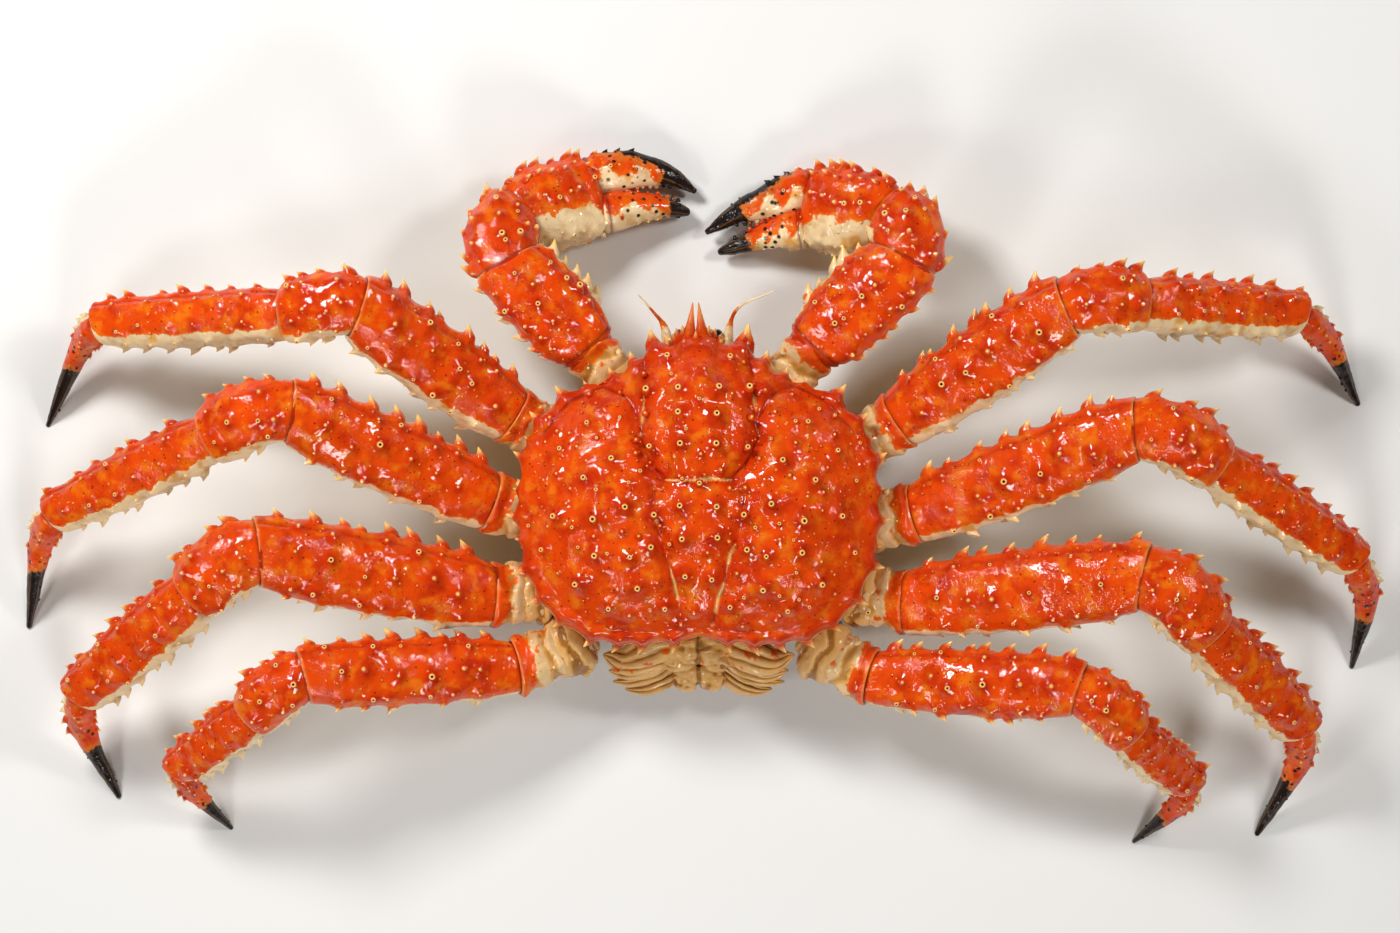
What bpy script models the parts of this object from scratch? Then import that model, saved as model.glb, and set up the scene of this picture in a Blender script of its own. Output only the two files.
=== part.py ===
"""Red king crab, life size, as a still display model.

It stands on the tips of four pairs of walking legs and on the heels of its two
claws. +X is the crab's right side seen from above, +Y is forward and +Z is up,
with the floor at Z = 0. Lengths are written in millimetres and made metres by mm().
"""

import math
import random

import bmesh
import bpy
from mathutils import Matrix, Vector

UP = Vector((0, 0, 1))


def mm(*lengths):
    """Millimetres as metres: one number, or a tuple of them."""
    metres = tuple(length * 0.001 for length in lengths)
    return metres if len(metres) > 1 else metres[0]


# Fits between pieces
GAP = mm(0.3)
SUNK = mm(3.0)
WELD = mm(0.01)

# Heights of the body above the floor
BELLY_Z = mm(14)
SEAM_Z = mm(54)
DOME_RISE = mm(46)
MARGIN_RISE = mm(4)

# Half of the carapace's outline, from the middle of the front to the middle of the back
OUTLINE = (
    mm(0, 91), mm(12, 89.5), mm(23, 88), mm(31, 79), mm(40, 73), mm(50, 65.5),
    mm(62, 62), mm(77, 54), mm(89, 41), mm(95.5, 24), mm(98.5, 6), mm(98.5, -14),
    mm(96, -36), mm(90, -55), mm(80, -70), mm(64, -80), mm(46, -83.5),
    mm(22, -83.5), mm(0, -81),
)

# Swellings of the carapace: centre in plan, half width, half length, rise.
# Each with a centre off the middle has its like on the other side.
SWELLINGS = (
    (mm(0, 38), mm(24, 34), mm(9)),
    (mm(0, -14), mm(17, 22), mm(5)),
    (mm(0, 70), mm(13, 14), mm(5)),
    (mm(54, -4), mm(32, 36), mm(11)),
    (mm(46, -46), mm(32, 22), mm(5)),
    (mm(38, 60), mm(11, 10), mm(4)),
)

# Grooves of the carapace, as pairs of ends in plan, and their like on the other side
GROOVES = (
    (mm(32, 52), mm(29, 30)),
    (mm(29, 30), mm(20, 9)),
    (mm(20, 9), mm(0, 8)),
    (mm(24, -6), mm(17, -36)),
    (mm(17, -36), mm(5, -68)),
)
GROOVE_DEPTH = mm(3.5)
GROOVE_HALF_WIDTH = mm(3.2)

# Walking legs, first to fourth pair. Places in plan of the root on the body, the
# thigh's start, the knee, the two next joints, the middle of the tip joint and its end.
LEG_PLAN = {
    ("left", 1): (mm(-78, 29), mm(-104.5, 45), mm(-184, 102), mm(-222, 98),
                  mm(-331, 94.5), mm(-344.5, 81), mm(-366.5, 38.5)),
    ("left", 2): (mm(-84, -13), mm(-116.5, -3), mm(-220.5, 46), mm(-262, 32),
                  mm(-356, -11), mm(-366.5, -30.5), mm(-377, -75)),
    ("left", 3): (mm(-83, -52), mm(-115.5, -55), mm(-238, -30), mm(-271, -52),
                  mm(-341.5, -110), mm(-342, -130.5), mm(-326, -170.5)),
    ("left", 4): (mm(-62, -80), mm(-101.5, -95), mm(-214.5, -97.5), mm(-242, -118.5),
                  mm(-288, -152), mm(-279.5, -167), mm(-262.5, -188)),
    ("right", 1): (mm(78, 20), mm(112, 42), mm(199, 102.5), mm(238.5, 104),
                   mm(333, 100), mm(351.5, 83.5), mm(371.5, 50.5)),
    ("right", 2): (mm(85, -16), mm(121, -10), mm(236, 36), mm(278.5, 17.5),
                   mm(362.5, -36), mm(371.5, -58.5), mm(367.5, -97.5)),
    ("right", 3): (mm(84, -53), mm(115.5, -59), mm(240.5, -43.5), mm(274, -72.5),
                   mm(333, -128), mm(333, -150), mm(314, -191.5)),
    ("right", 4): (mm(62, -82), mm(96, -100.5), mm(206.5, -104.5), mm(233.5, -128),
                   mm(272, -160.5), mm(264.5, -175.5), mm(244.5, -195.5)),
}
ROOT_Z = mm(33)
THIGH_Z = mm(42)
KNEE_Z = {1: mm(96), 2: mm(100), 3: mm(98), 4: mm(84)}
CARPUS_DROP = mm(7)
KNEE_ARCH = 0.12
RUN_OUT = 0.7
ANKLE_SHARE = 0.44
CLAW_MID_SHARE = 0.25
TIP_Z = mm(-0.6)
LEG_WIDTHS = {
    "base": {1: mm(34), 2: mm(35), 3: mm(36), 4: mm(33)},
    "merus": {1: mm(40), 2: mm(40), 3: mm(43), 4: mm(35)},
    "carpus": {1: mm(32), 2: mm(33), 3: mm(35), 4: mm(28.5)},
    "propodus": {1: mm(29.5), 2: mm(29), 3: mm(32), 4: mm(24)},
    "dactyl": {1: mm(16.5), 2: mm(16.5), 3: mm(17), 4: mm(13.5)},
}

# Claw arms: the same joints as a leg's down to the wrist, then the hand's end, with
# heights, and the middle and tip of the moving and the fixed finger.
ARM_JOINTS = {
    "left": (mm(-39, 54, 33), mm(-62.5, 83.5, 42), mm(-104.5, 128, 54),
             mm(-101, 154, 37), mm(-57, 167.5, 12.6)),
    "right": (mm(40.5, 54, 33), mm(65.5, 84, 42), mm(112.5, 129, 54),
              mm(105.5, 153.5, 37), mm(61, 160.5, 12.6)),
}
MOVING_FINGER = {
    "left": (mm(-38, 181.5, 15), mm(-18.5, 179.5, 12), mm(-1.5, 170, 8)),
    "right": (mm(42.5, 165, 15), mm(23, 158.5, 12), mm(4, 147, 8)),
}
FIXED_FINGER = {
    "left": (mm(-50.5, 158, 16.5), mm(-32.5, 161, 15), mm(-17, 160.5, 12), mm(-5, 158.5, 8)),
    "right": (mm(56.5, 148.5, 16.5), mm(42.5, 146.5, 15), mm(29, 141.5, 12), mm(11, 136, 8)),
}
MOVING_FINGER_OFFSET = mm(10.5)
ARM_WIDTHS = {"base": mm(32), "merus": mm(42), "carpus": mm(40), "palm": mm(47)}
FINGER_WIDTHS = {"moving": mm(22), "fixed": mm(16)}

# Width along a segment, as share of its length and share of its full width
PROFILES = {
    "base": ((0.0, 0.86), (0.35, 0.80), (0.7, 0.94), (1.0, 1.0)),
    "merus": ((0.0, 0.80), (0.12, 0.90), (0.45, 1.0), (0.8, 0.98), (1.0, 0.86)),
    "carpus": ((0.0, 0.94), (0.25, 1.0), (0.7, 1.02), (1.0, 0.94)),
    "propodus": ((0.0, 0.92), (0.15, 1.0), (0.6, 0.97), (1.0, 0.80)),
    "palm": ((0.0, 0.74), (0.25, 0.96), (0.6, 1.0), (1.0, 0.92)),
    "dactyl": ((0.0, 0.84), (0.15, 1.0), (0.6, 0.68), (0.85, 0.38), (1.0, 0.16)),
    "moving": ((0.0, 0.98), (0.2, 1.0), (0.6, 0.66), (0.85, 0.36), (1.0, 0.14)),
    "fixed": ((0.0, 0.95), (0.3, 1.0), (0.65, 0.72), (0.9, 0.42), (1.0, 0.2)),
    "feeler": ((0.0, 1.0), (0.25, 0.75), (0.45, 0.3), (1.0, 0.07)),
    "eye": ((0.0, 0.8), (0.5, 0.75), (0.75, 1.1), (0.92, 0.95), (1.0, 0.4)),
}
DEPTH_SHARE = {
    "base": 0.84, "merus": 0.8, "carpus": 0.86, "propodus": 0.84, "dactyl": 1.0,
    "palm": 0.72, "moving": 0.9, "fixed": 1.0, "feeler": 1.0, "eye": 1.0,
}
SIDES = {"palm": 12, "feeler": 6, "eye": 8, "dactyl": 8, "moving": 8, "fixed": 8}
RINGS = {"base": 4, "merus": 6, "carpus": 4, "propodus": 5, "dactyl": 6, "palm": 5,
         "moving": 6, "fixed": 5, "feeler": 8, "eye": 5}
LEG_SIDES = 10

# Spines: height above the shell and radius of the root
SPINE_SIZES = {
    "great": (mm(9), mm(3.3)),
    "large": (mm(5.6), mm(2.5)),
    "medium": (mm(4.4), mm(2.1)),
    "small": (mm(3), mm(1.8)),
}
SPINE_SPREAD = 0.16
SPINE_LEAN = 0.75

# Rows of spines on a segment: degrees round it, from its outer edge over the top, how
# many, the shares of its length between which they stand, and their size
SPINE_ROWS = {
    "base": ((35, 1, 0.65, 0.65, "small"), (140, 1, 0.5, 0.5, "small")),
    "merus": ((6, 6, 0.10, 0.93, "large"), (58, 5, 0.14, 0.90, "small"),
              (112, 4, 0.20, 0.90, "small"), (174, 6, 0.16, 0.88, "medium")),
    "carpus": ((8, 3, 0.25, 0.80, "large"), (68, 3, 0.2, 0.80, "small"),
               (172, 2, 0.35, 0.75, "medium")),
    "propodus": ((8, 5, 0.10, 0.92, "medium"), (78, 4, 0.12, 0.88, "small"),
                 (172, 6, 0.10, 0.90, "medium")),
    "dactyl": ((12, 2, 0.10, 0.45, "small"), (168, 2, 0.14, 0.50, "small")),
    "arm merus": ((174, 4, 0.20, 0.88, "medium"), (112, 4, 0.16, 0.88, "small"),
                  (60, 4, 0.2, 0.86, "small"), (8, 4, 0.24, 0.84, "large")),
    "arm carpus": ((172, 4, 0.15, 0.85, "large"), (120, 3, 0.2, 0.80, "medium"),
                   (65, 3, 0.3, 0.75, "small")),
    "palm": ((172, 6, 0.12, 0.90, "large"), (125, 5, 0.15, 0.90, "medium"),
             (85, 4, 0.2, 0.85, "small")),
    "moving": ((160, 3, 0.08, 0.4, "small"), (110, 2, 0.12, 0.35, "small")),
}

# Spines round the carapace's margin: degrees from the front, and size, on both sides
MARGIN_SPINES = (
    (15, "large"), (27, "large"), (43, "large"), (54, "large"), (65, "great"),
    (76, "medium"), (86, "large"), (97, "large"), (106, "medium"), (114, "large"),
    (123, "medium"), (132, "medium"), (142, "medium"), (151, "small"), (160, "small"),
    (170, "small"),
)
MARGIN_SPINE_RISE = mm(5)

# Spines on the carapace's back in plan, each with its like on the other side
BACK_SPINES = (
    (mm(10, 59), "medium"), (mm(10, 45), "medium"), (mm(10, 29), "medium"),
    (mm(0, 8), "small"), (mm(10, -5), "medium"), (mm(9.5, -22), "medium"),
    (mm(7, -44), "small"), (mm(25, -9), "medium"), (mm(26, -28), "medium"),
    (mm(40, -5), "medium"), (mm(57, -13), "large"), (mm(56, -31), "medium"),
    (mm(75, 25), "small"), (mm(46, 20), "medium"), (mm(62, 9), "medium"),
    (mm(77, -10), "medium"), (mm(36, -33), "small"), (mm(34, -50), "medium"),
    (mm(67, -47), "medium"), (mm(49, -61), "small"), (mm(28, 58), "large"),
    (mm(27, 26), "small"), (mm(18, -60), "small"), (mm(84, -30), "small"),
    (mm(60, 40), "small"), (mm(16, 76), "medium"),
)
# Spines of the rostrum: where they rise, where they end, and the radius of the root
ROSTRUM_SPINES = (
    (mm(0, 78, 74), mm(2.2, 106, 79), mm(5)), (mm(0, 78, 74), mm(-2.2, 106, 79), mm(5)),
    (mm(7, 76, 73), mm(10, 97, 79), mm(3.4)), (mm(-7, 76, 73), mm(-10, 97, 79), mm(3.4)),
    (mm(0, 76, 75), mm(0, 95, 88), mm(3.6)),
)

COLOURS = {
    "red_shell": ((0.78, 0.11, 0.012), 0.22),
    "cream_shell": ((0.72, 0.52, 0.30), 0.35),
    "claw_horn": ((0.50, 0.10, 0.02), 0.25),
    "eye_black": ((0.015, 0.01, 0.008), 0.12),
}

crab = bpy.data.collections.new("red_king_crab")
materials = {}
chance = random.Random(7)


def clear_scene():
    for old in list(bpy.data.objects):
        bpy.data.objects.remove(old)
    bpy.context.scene.collection.children.link(crab)


def make_materials():
    for name, (colour, roughness) in COLOURS.items():
        material = bpy.data.materials.new(name)
        material.use_nodes = True
        shader = material.node_tree.nodes["Principled BSDF"]
        shader.inputs["Base Color"].default_value = (*colour, 1)
        shader.inputs["Roughness"].default_value = roughness
        materials[name] = material


def share_at(profile, t):
    """The share of full width at t, between the profile's points and held beyond its ends."""
    points = PROFILES[profile]
    if t <= points[0][0]:
        return points[0][1]
    for (t0, w0), (t1, w1) in zip(points, points[1:]):
        if t <= t1:
            return w0 + (w1 - w0) * (t - t0) / (t1 - t0)
    return points[-1][1]


def along(points, t):
    """The place at t on a smooth line through the points, straight beyond both ends."""
    points = [Vector(p) for p in points]
    spans = len(points) - 1
    if t < 0:
        return points[0] + (points[1] - points[0]) * t * spans
    if t > 1:
        return points[-1] + (points[-1] - points[-2]) * (t - 1) * spans
    if spans == 1:
        return points[0].lerp(points[1], t)
    i = min(int(t * spans), spans - 1)
    s = t * spans - i
    p1, p2 = points[i], points[i + 1]
    p0 = points[i - 1] if i > 0 else p1 * 2 - p2
    p3 = points[i + 2] if i + 2 <= spans else p2 * 2 - p1
    straight = p1 * 2 + (p2 - p0) * s
    bend = (p0 * 2 - p1 * 5 + p2 * 4 - p3) * s * s + (p1 * 3 - p0 - p2 * 3 + p3) * s ** 3
    return (straight + bend) / 2


def frame_at(points, t, outer):
    """The line's direction at t, the level direction towards its outer edge, and the top."""
    step = 0.01
    forward = (along(points, t + step) - along(points, t - step)).normalized()
    edge = forward.cross(UP).normalized() * outer
    top = edge.cross(forward) * outer
    return forward, edge, top


def unit_tube(sides, rings):
    """A capped tube of radius 1 from Z = 0 to 1, its length cut into rings."""
    bm = bmesh.new()
    bmesh.ops.create_cone(bm, cap_ends=True, segments=sides, radius1=1, radius2=1, depth=1)
    bmesh.ops.translate(bm, verts=bm.verts, vec=(0, 0, 0.5))
    lengthwise = [e for e in bm.edges if abs(e.verts[0].co.z - e.verts[1].co.z) > 0.5]
    bmesh.ops.subdivide_edges(bm, edges=lengthwise, cuts=rings - 1, use_grid_fill=True)
    return bm


def cone(foot, tip, radius):
    """A four-sided cone from its foot to its tip."""
    foot, tip = Vector(foot), Vector(tip)
    axis = tip - foot
    bm = bmesh.new()
    bmesh.ops.create_cone(bm, cap_ends=True, segments=4, radius1=radius, radius2=0,
                          depth=axis.length)
    bmesh.ops.remove_doubles(bm, verts=bm.verts, dist=WELD)
    stand = axis.to_track_quat("Z", "Y").to_matrix().to_4x4()
    spin = Matrix.Rotation(chance.uniform(0, math.pi / 2), 4, "Z")
    bmesh.ops.transform(bm, verts=bm.verts,
                        matrix=Matrix.Translation((foot + tip) / 2) @ stand @ spin)
    return bm


def spine(root, axis, size):
    """A spine of the named size, a little varied, its foot sunk in the shell."""
    height, radius = SPINE_SIZES[size]
    height *= 1 + chance.uniform(-SPINE_SPREAD, SPINE_SPREAD)
    axis = axis.normalized()
    return cone(root - axis * SUNK, root + axis * height, radius * (height + SUNK) / height)


def limb_spines(rows, kind, points, width, outer):
    """The rows of spines of a segment, leaning towards its far end."""
    spines = []
    for degrees, count, start, end, size in SPINE_ROWS.get(rows, ()):
        for i in range(count):
            t = start + (end - start) * (i + 0.5) / count
            if count > 1:
                t += chance.uniform(-0.2, 0.2) * (end - start) / count
            angle = math.radians(degrees + chance.uniform(-7, 7))
            forward, edge, top = frame_at(points, t, outer)
            half = width / 2 * share_at(kind, t)
            depth = DEPTH_SHARE[kind]
            root = (along(points, t) + edge * math.cos(angle) * half
                    + top * math.sin(angle) * half * depth)
            out = (edge * math.cos(angle) * depth + top * math.sin(angle)).normalized()
            spines.append(spine(root, out + forward * SPINE_LEAN, size))
    return spines


def limb_tube(kind, points, width, outer, reach):
    """A tube of the kind's profile along the points, run past both ends by the share reach."""
    bm = unit_tube(SIDES.get(kind, LEG_SIDES), RINGS[kind])
    for vert in bm.verts:
        t = -reach[0] + vert.co.z * (1 + reach[0] + reach[1])
        forward, edge, top = frame_at(points, t, outer)
        half = width / 2 * share_at(kind, t)
        vert.co = (along(points, t) + edge * vert.co.y * half
                   + top * vert.co.x * half * DEPTH_SHARE[kind])
    bmesh.ops.recalc_face_normals(bm, faces=bm.faces)
    return bm


def cut(bm, place, normal):
    """Takes away what lies beyond the plane and closes the flat that it leaves."""
    everything = bm.verts[:] + bm.edges[:] + bm.faces[:]
    bmesh.ops.bisect_plane(bm, geom=everything, plane_co=place, plane_no=normal,
                           dist=WELD, clear_outer=True)
    rim = [e for e in bm.edges if e.is_boundary]
    bmesh.ops.holes_fill(bm, edges=rim, sides=0)
    bmesh.ops.recalc_face_normals(bm, faces=bm.faces)


def cut_ends(bm, start, start_normal, end, end_normal):
    """Cuts both ends of a segment, each half a gap short of its joint's plane."""
    cut(bm, start + start_normal * GAP / 2, -start_normal)
    cut(bm, end - end_normal * GAP / 2, end_normal)


def add_node(name, bm, origin, material):
    """Makes the mesh a named object with its own origin."""
    bmesh.ops.translate(bm, verts=bm.verts, vec=-Vector(origin))
    mesh = bpy.data.meshes.new(name)
    bm.to_mesh(mesh)
    bm.free()
    mesh.materials.append(materials[material])
    mesh.shade_smooth()
    mesh.set_sharp_from_angle(angle=math.radians(35))
    node = bpy.data.objects.new(name, mesh)
    node.location = origin
    crab.objects.link(node)
    return node


def joint_normal(line, following):
    """The joint plane's normal where a line ends and the one that follows it starts."""
    if line is following:
        return (line[1] - line[0]).normalized()
    arriving, leaving = line[-1] - line[-2], following[1] - following[0]
    return (arriving.normalized() + leaving.normalized()).normalized()


def arched(lines, bend):
    """The middle line of the limb, with its middle point pushed to the outside of its bend."""
    before, here, after = lines
    push = (before[-1] - before[0]).normalized() - (after[-1] - after[0]).normalized()
    middle = (here[0] + here[-1]) / 2 + push * (here[-1] - here[0]).length * bend
    return [here[0], middle, here[-1]]


def make_chain(side, name, kinds, joints, widths):
    """The segments of one limb, from the body out, each face to face with the next."""
    outer = 1 if side == "left" else -1
    joints = [[Vector(p) for p in line] for line in joints]
    joints[2] = arched(joints[1:4], KNEE_ARCH)
    for i, kind in enumerate(kinds):
        line, width = joints[i], widths[kind]
        last = i == len(kinds) - 1
        start_normal = joint_normal(joints[i - 1] if i else line, line)
        end_normal = joint_normal(line, line if last else joints[i + 1])
        run_out = width / (line[-1] - line[0]).length * RUN_OUT
        reach = (run_out, 0 if last else run_out)
        bm = limb_tube(kind, line, width, outer, reach)
        if last:
            cut(bm, line[0] + start_normal * GAP / 2, -start_normal)
            cut(bm, Vector((0, 0, 0)), -UP)
        else:
            cut_ends(bm, line[0], start_normal, line[-1], end_normal)
        material = {"base": "cream_shell", "dactyl": "claw_horn"}.get(kind, "red_shell")
        node = add_node(f"{name}_{kind}", bm, line[0], material)
        fuse(node, limb_spines(kind, kind, line, width, outer))


def leg_joints(side, number):
    """The lines of a walking leg's five segments, with heights."""
    root, thigh, knee, shin, ankle, middle, tip = LEG_PLAN[side, number]
    knee_z = KNEE_Z[number]
    places = [
        (*root, ROOT_Z), (*thigh, THIGH_Z), (*knee, knee_z),
        (*shin, knee_z - CARPUS_DROP), (*ankle, knee_z * ANKLE_SHARE),
        (*middle, knee_z * CLAW_MID_SHARE), (*tip, TIP_Z),
    ]
    return [places[0:2], places[1:3], places[2:4], places[3:5], places[4:7]]


def make_legs():
    kinds = ("base", "merus", "carpus", "propodus", "dactyl")
    for side, number in LEG_PLAN:
        widths = {kind: LEG_WIDTHS[kind][number] for kind in kinds}
        make_chain(side, f"leg_{side}_{number}", kinds, leg_joints(side, number), widths)


def make_claws():
    """Both claw arms. The hand ends in a flat that carries the moving finger and grows
    into the fixed one, and its heel is cut level where it rests on the floor."""
    for side, joints in ARM_JOINTS.items():
        outer = 1 if side == "left" else -1
        places = [Vector(p) for p in joints]
        lines = [[a, b] for a, b in zip(places, places[1:])]
        lines[2] = arched(lines[1:4], KNEE_ARCH)
        for i, kind in enumerate(("base", "merus", "carpus")):
            start_normal = joint_normal(lines[i - 1] if i else lines[0], lines[i])
            end_normal = joint_normal(lines[i], lines[i + 1])
            run_out = ARM_WIDTHS[kind] / (places[i + 1] - places[i]).length * RUN_OUT
            bm = limb_tube(kind, lines[i], ARM_WIDTHS[kind], outer, (run_out, run_out))
            cut_ends(bm, places[i], start_normal, places[i + 1], end_normal)
            material = "cream_shell" if kind == "base" else "red_shell"
            node = add_node(f"claw_{side}_{kind}", bm, places[i], material)
            rows = kind if kind == "base" else f"arm {kind}"
            fuse(node, limb_spines(rows, kind, lines[i], ARM_WIDTHS[kind], outer))
        make_hand(side, places[3], places[4], joint_normal(lines[2], lines[3]), outer)


def make_hand(side, wrist, end, wrist_normal, outer):
    axis = (end - wrist).normalized()
    _, inner, _ = frame_at((wrist, end), 0.5, outer)
    palm = limb_tube("palm", (wrist, end), ARM_WIDTHS["palm"], outer, (0.4, 0.1))
    cut_ends(palm, wrist, wrist_normal, end, axis)
    palm_node = add_node(f"claw_{side}_palm", palm, wrist, "red_shell")
    fixed = limb_tube("fixed", FIXED_FINGER[side], FINGER_WIDTHS["fixed"], outer, (0.12, 0))
    fuse(palm_node, [fixed] + limb_spines("palm", "palm", (wrist, end), ARM_WIDTHS["palm"],
                                          outer))
    palm_floor = bmesh.new()
    palm_floor.from_mesh(palm_node.data)
    cut(palm_floor, -wrist, -UP)
    palm_floor.to_mesh(palm_node.data)
    palm_floor.free()
    root = end - inner * MOVING_FINGER_OFFSET
    moving = limb_tube("moving", (root, *MOVING_FINGER[side]), FINGER_WIDTHS["moving"],
                       outer, (0.2, 0))
    cut(moving, end + axis * GAP / 2, -axis)
    finger = add_node(f"claw_{side}_finger", moving, root, "claw_horn")
    fuse(finger, limb_spines("moving", "moving", (root, *MOVING_FINGER[side]),
                             FINGER_WIDTHS["moving"], outer))


def fuse(node, pieces):
    """Joins closed pieces, placed in the world, to a node and keeps its largest surface."""
    folder = bpy.data.collections.new(node.name + "_pieces")
    bpy.context.scene.collection.children.link(folder)
    for i, piece in enumerate(pieces):
        mesh = bpy.data.meshes.new(f"{node.name}_piece_{i}")
        bmesh.ops.recalc_face_normals(piece, faces=piece.faces)
        piece.to_mesh(mesh)
        piece.free()
        folder.objects.link(bpy.data.objects.new(mesh.name, mesh))
    union = node.modifiers.new("union", "BOOLEAN")
    union.operation = "UNION"
    union.operand_type = "COLLECTION"
    union.collection = folder
    union.solver = "EXACT"
    bpy.context.view_layer.update()
    graph = bpy.context.evaluated_depsgraph_get()
    joined = bpy.data.meshes.new_from_object(node.evaluated_get(graph))
    node.modifiers.remove(union)
    node.data = joined
    for piece in list(folder.objects):
        bpy.data.objects.remove(piece)
    bpy.data.collections.remove(folder)
    keep_largest(node)


def keep_largest(node):
    """Drops every closed surface of the node but the largest."""
    bm = bmesh.new()
    bm.from_mesh(node.data)
    unseen, groups = set(bm.faces), []
    while unseen:
        group, edge_of = set(), [unseen.pop()]
        while edge_of:
            face = edge_of.pop()
            group.add(face)
            for edge in face.edges:
                for other in edge.link_faces:
                    if other in unseen:
                        unseen.remove(other)
                        edge_of.append(other)
        groups.append(group)
    groups.sort(key=lambda g: sum(face.calc_area() for face in g))
    scraps = [face for group in groups[:-1] for face in group]
    bmesh.ops.delete(bm, geom=scraps, context="FACES")
    bm.to_mesh(node.data)
    bm.free()


def outline_radius(angle):
    """Distance from the carapace's centre to its margin, the angle counted from +Y."""
    angle = abs((angle + math.pi) % (2 * math.pi) - math.pi)
    marks = [(math.atan2(x, y), math.hypot(x, y)) for x, y in OUTLINE]
    for (a0, r0), (a1, r1) in zip(marks, marks[1:]):
        if angle <= a1:
            return r0 + (r1 - r0) * (angle - a0) / (a1 - a0)
    return marks[-1][1]


def groove_fall(x, y):
    """How far the grooves sink the shell at a place in plan."""
    deepest = 0.0
    place = Vector((abs(x), y))
    for start, end in GROOVES:
        a, b = Vector(start), Vector(end)
        t = max(0.0, min(1.0, (place - a).dot(b - a) / (b - a).length_squared))
        off = (place - a.lerp(b, t)).length / GROOVE_HALF_WIDTH
        deepest = max(deepest, math.exp(-off * off))
    return deepest * GROOVE_DEPTH


def dome_height(x, y):
    """Height of the carapace's upper side above its seam at a place in plan."""
    share = math.hypot(x, y) / outline_radius(math.atan2(x, y))
    level = max(0.0, 1 - share ** 2.6) ** 0.62
    rise = MARGIN_RISE + (DOME_RISE - MARGIN_RISE - mm(9)) * level
    for (cx, cy), (half_x, half_y), lift in SWELLINGS:
        for centre in ({cx, -cx}):
            fade = ((x - centre) / half_x) ** 2 + ((y - cy) / half_y) ** 2
            rise += lift * math.exp(-fade) * min(1.0, level * 1.6)
    return rise - groove_fall(x, y) * min(1.0, level * 2)


def make_carapace():
    """The shield over the body: a domed shell with swellings and grooves, level below."""
    bm = bmesh.new()
    bmesh.ops.create_uvsphere(bm, u_segments=44, v_segments=24, radius=1)
    cut(bm, Vector((0, 0, 0)), -UP)
    for vert in bm.verts:
        angle = math.atan2(vert.co.x, vert.co.y)
        share = math.hypot(vert.co.x, vert.co.y)
        on_rim = vert.co.z < 1e-5
        radius = outline_radius(angle) * (share if not on_rim else 1.0)
        x, y = math.sin(angle) * radius, math.cos(angle) * radius
        rise = 0.0 if on_rim else dome_height(x, y)
        vert.co = (x, y, SEAM_Z + rise)
    node = add_node("carapace", bm, Vector((0, 0, SEAM_Z)), "red_shell")
    fuse(node, carapace_spines())


def carapace_spines():
    spines = [cone(foot, tip, radius) for foot, tip, radius in ROSTRUM_SPINES]
    for degrees, size in MARGIN_SPINES:
        for hand in (1, -1):
            angle = math.radians(degrees + chance.uniform(-1.5, 1.5)) * hand
            out = Vector((math.sin(angle), math.cos(angle), 0))
            root = out * (outline_radius(angle) - mm(1)) + UP * (SEAM_Z + MARGIN_SPINE_RISE)
            spines.append(spine(root, out + Vector((0, 0.35, 0.3)), size))
    for (x, y), size in BACK_SPINES:
        for hand in {1, -1} if x else {1}:
            place = Vector((x * hand, y, SEAM_Z + dome_height(x * hand, y)))
            spines.append(spine(place, back_normal(place) + Vector((0, 0.15, 0.4)), size))
    return spines


def back_normal(place):
    """The direction out of the carapace's back at a place."""
    step = mm(2)
    slope_x = dome_height(place.x + step, place.y) - dome_height(place.x - step, place.y)
    slope_y = dome_height(place.x, place.y + step) - dome_height(place.x, place.y - step)
    return Vector((-slope_x, -slope_y, 2 * step)).normalized()


def block(low, high):
    """A box from its lowest corner to its highest."""
    bm = bmesh.new()
    bmesh.ops.create_cube(bm, size=1)
    low, high = Vector(low), Vector(high)
    bmesh.ops.scale(bm, verts=bm.verts, vec=high - low)
    bmesh.ops.translate(bm, verts=bm.verts, vec=(low + high) / 2)
    return bm


def limb_roots():
    """Place and outward direction of the ten limbs on the body."""
    for side, number in LEG_PLAN:
        root, thigh = leg_joints(side, number)[0]
        yield Vector(root), (Vector(thigh) - Vector(root)).normalized()
    for joints in ARM_JOINTS.values():
        yield Vector(joints[0]), (Vector(joints[1]) - Vector(joints[0])).normalized()


BODY_LOW = mm(-92, -84, 14)
BODY_HIGH = mm(92, 70, 53.7)
BROW_LOW = mm(-22, 50, 35)
BROW_HIGH = mm(22, 78, 53.7)
KEEL_SLOPE = 0.9
KEEL_DROP = mm(17)


def make_underbody():
    """The body under the shield, with a flat for each limb's root and for the brow."""
    bm = block(BODY_LOW, BODY_HIGH)
    for root, out in limb_roots():
        cut(bm, root - out * GAP / 2, out)
        keel = (out + Vector((0, 0, -KEEL_SLOPE))).normalized()
        cut(bm, root - UP * KEEL_DROP, keel)
    node = add_node("underbody", bm, Vector((0, 0, SEAM_Z)), "cream_shell")
    fuse(node, [block(BROW_LOW, BROW_HIGH)])


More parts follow.
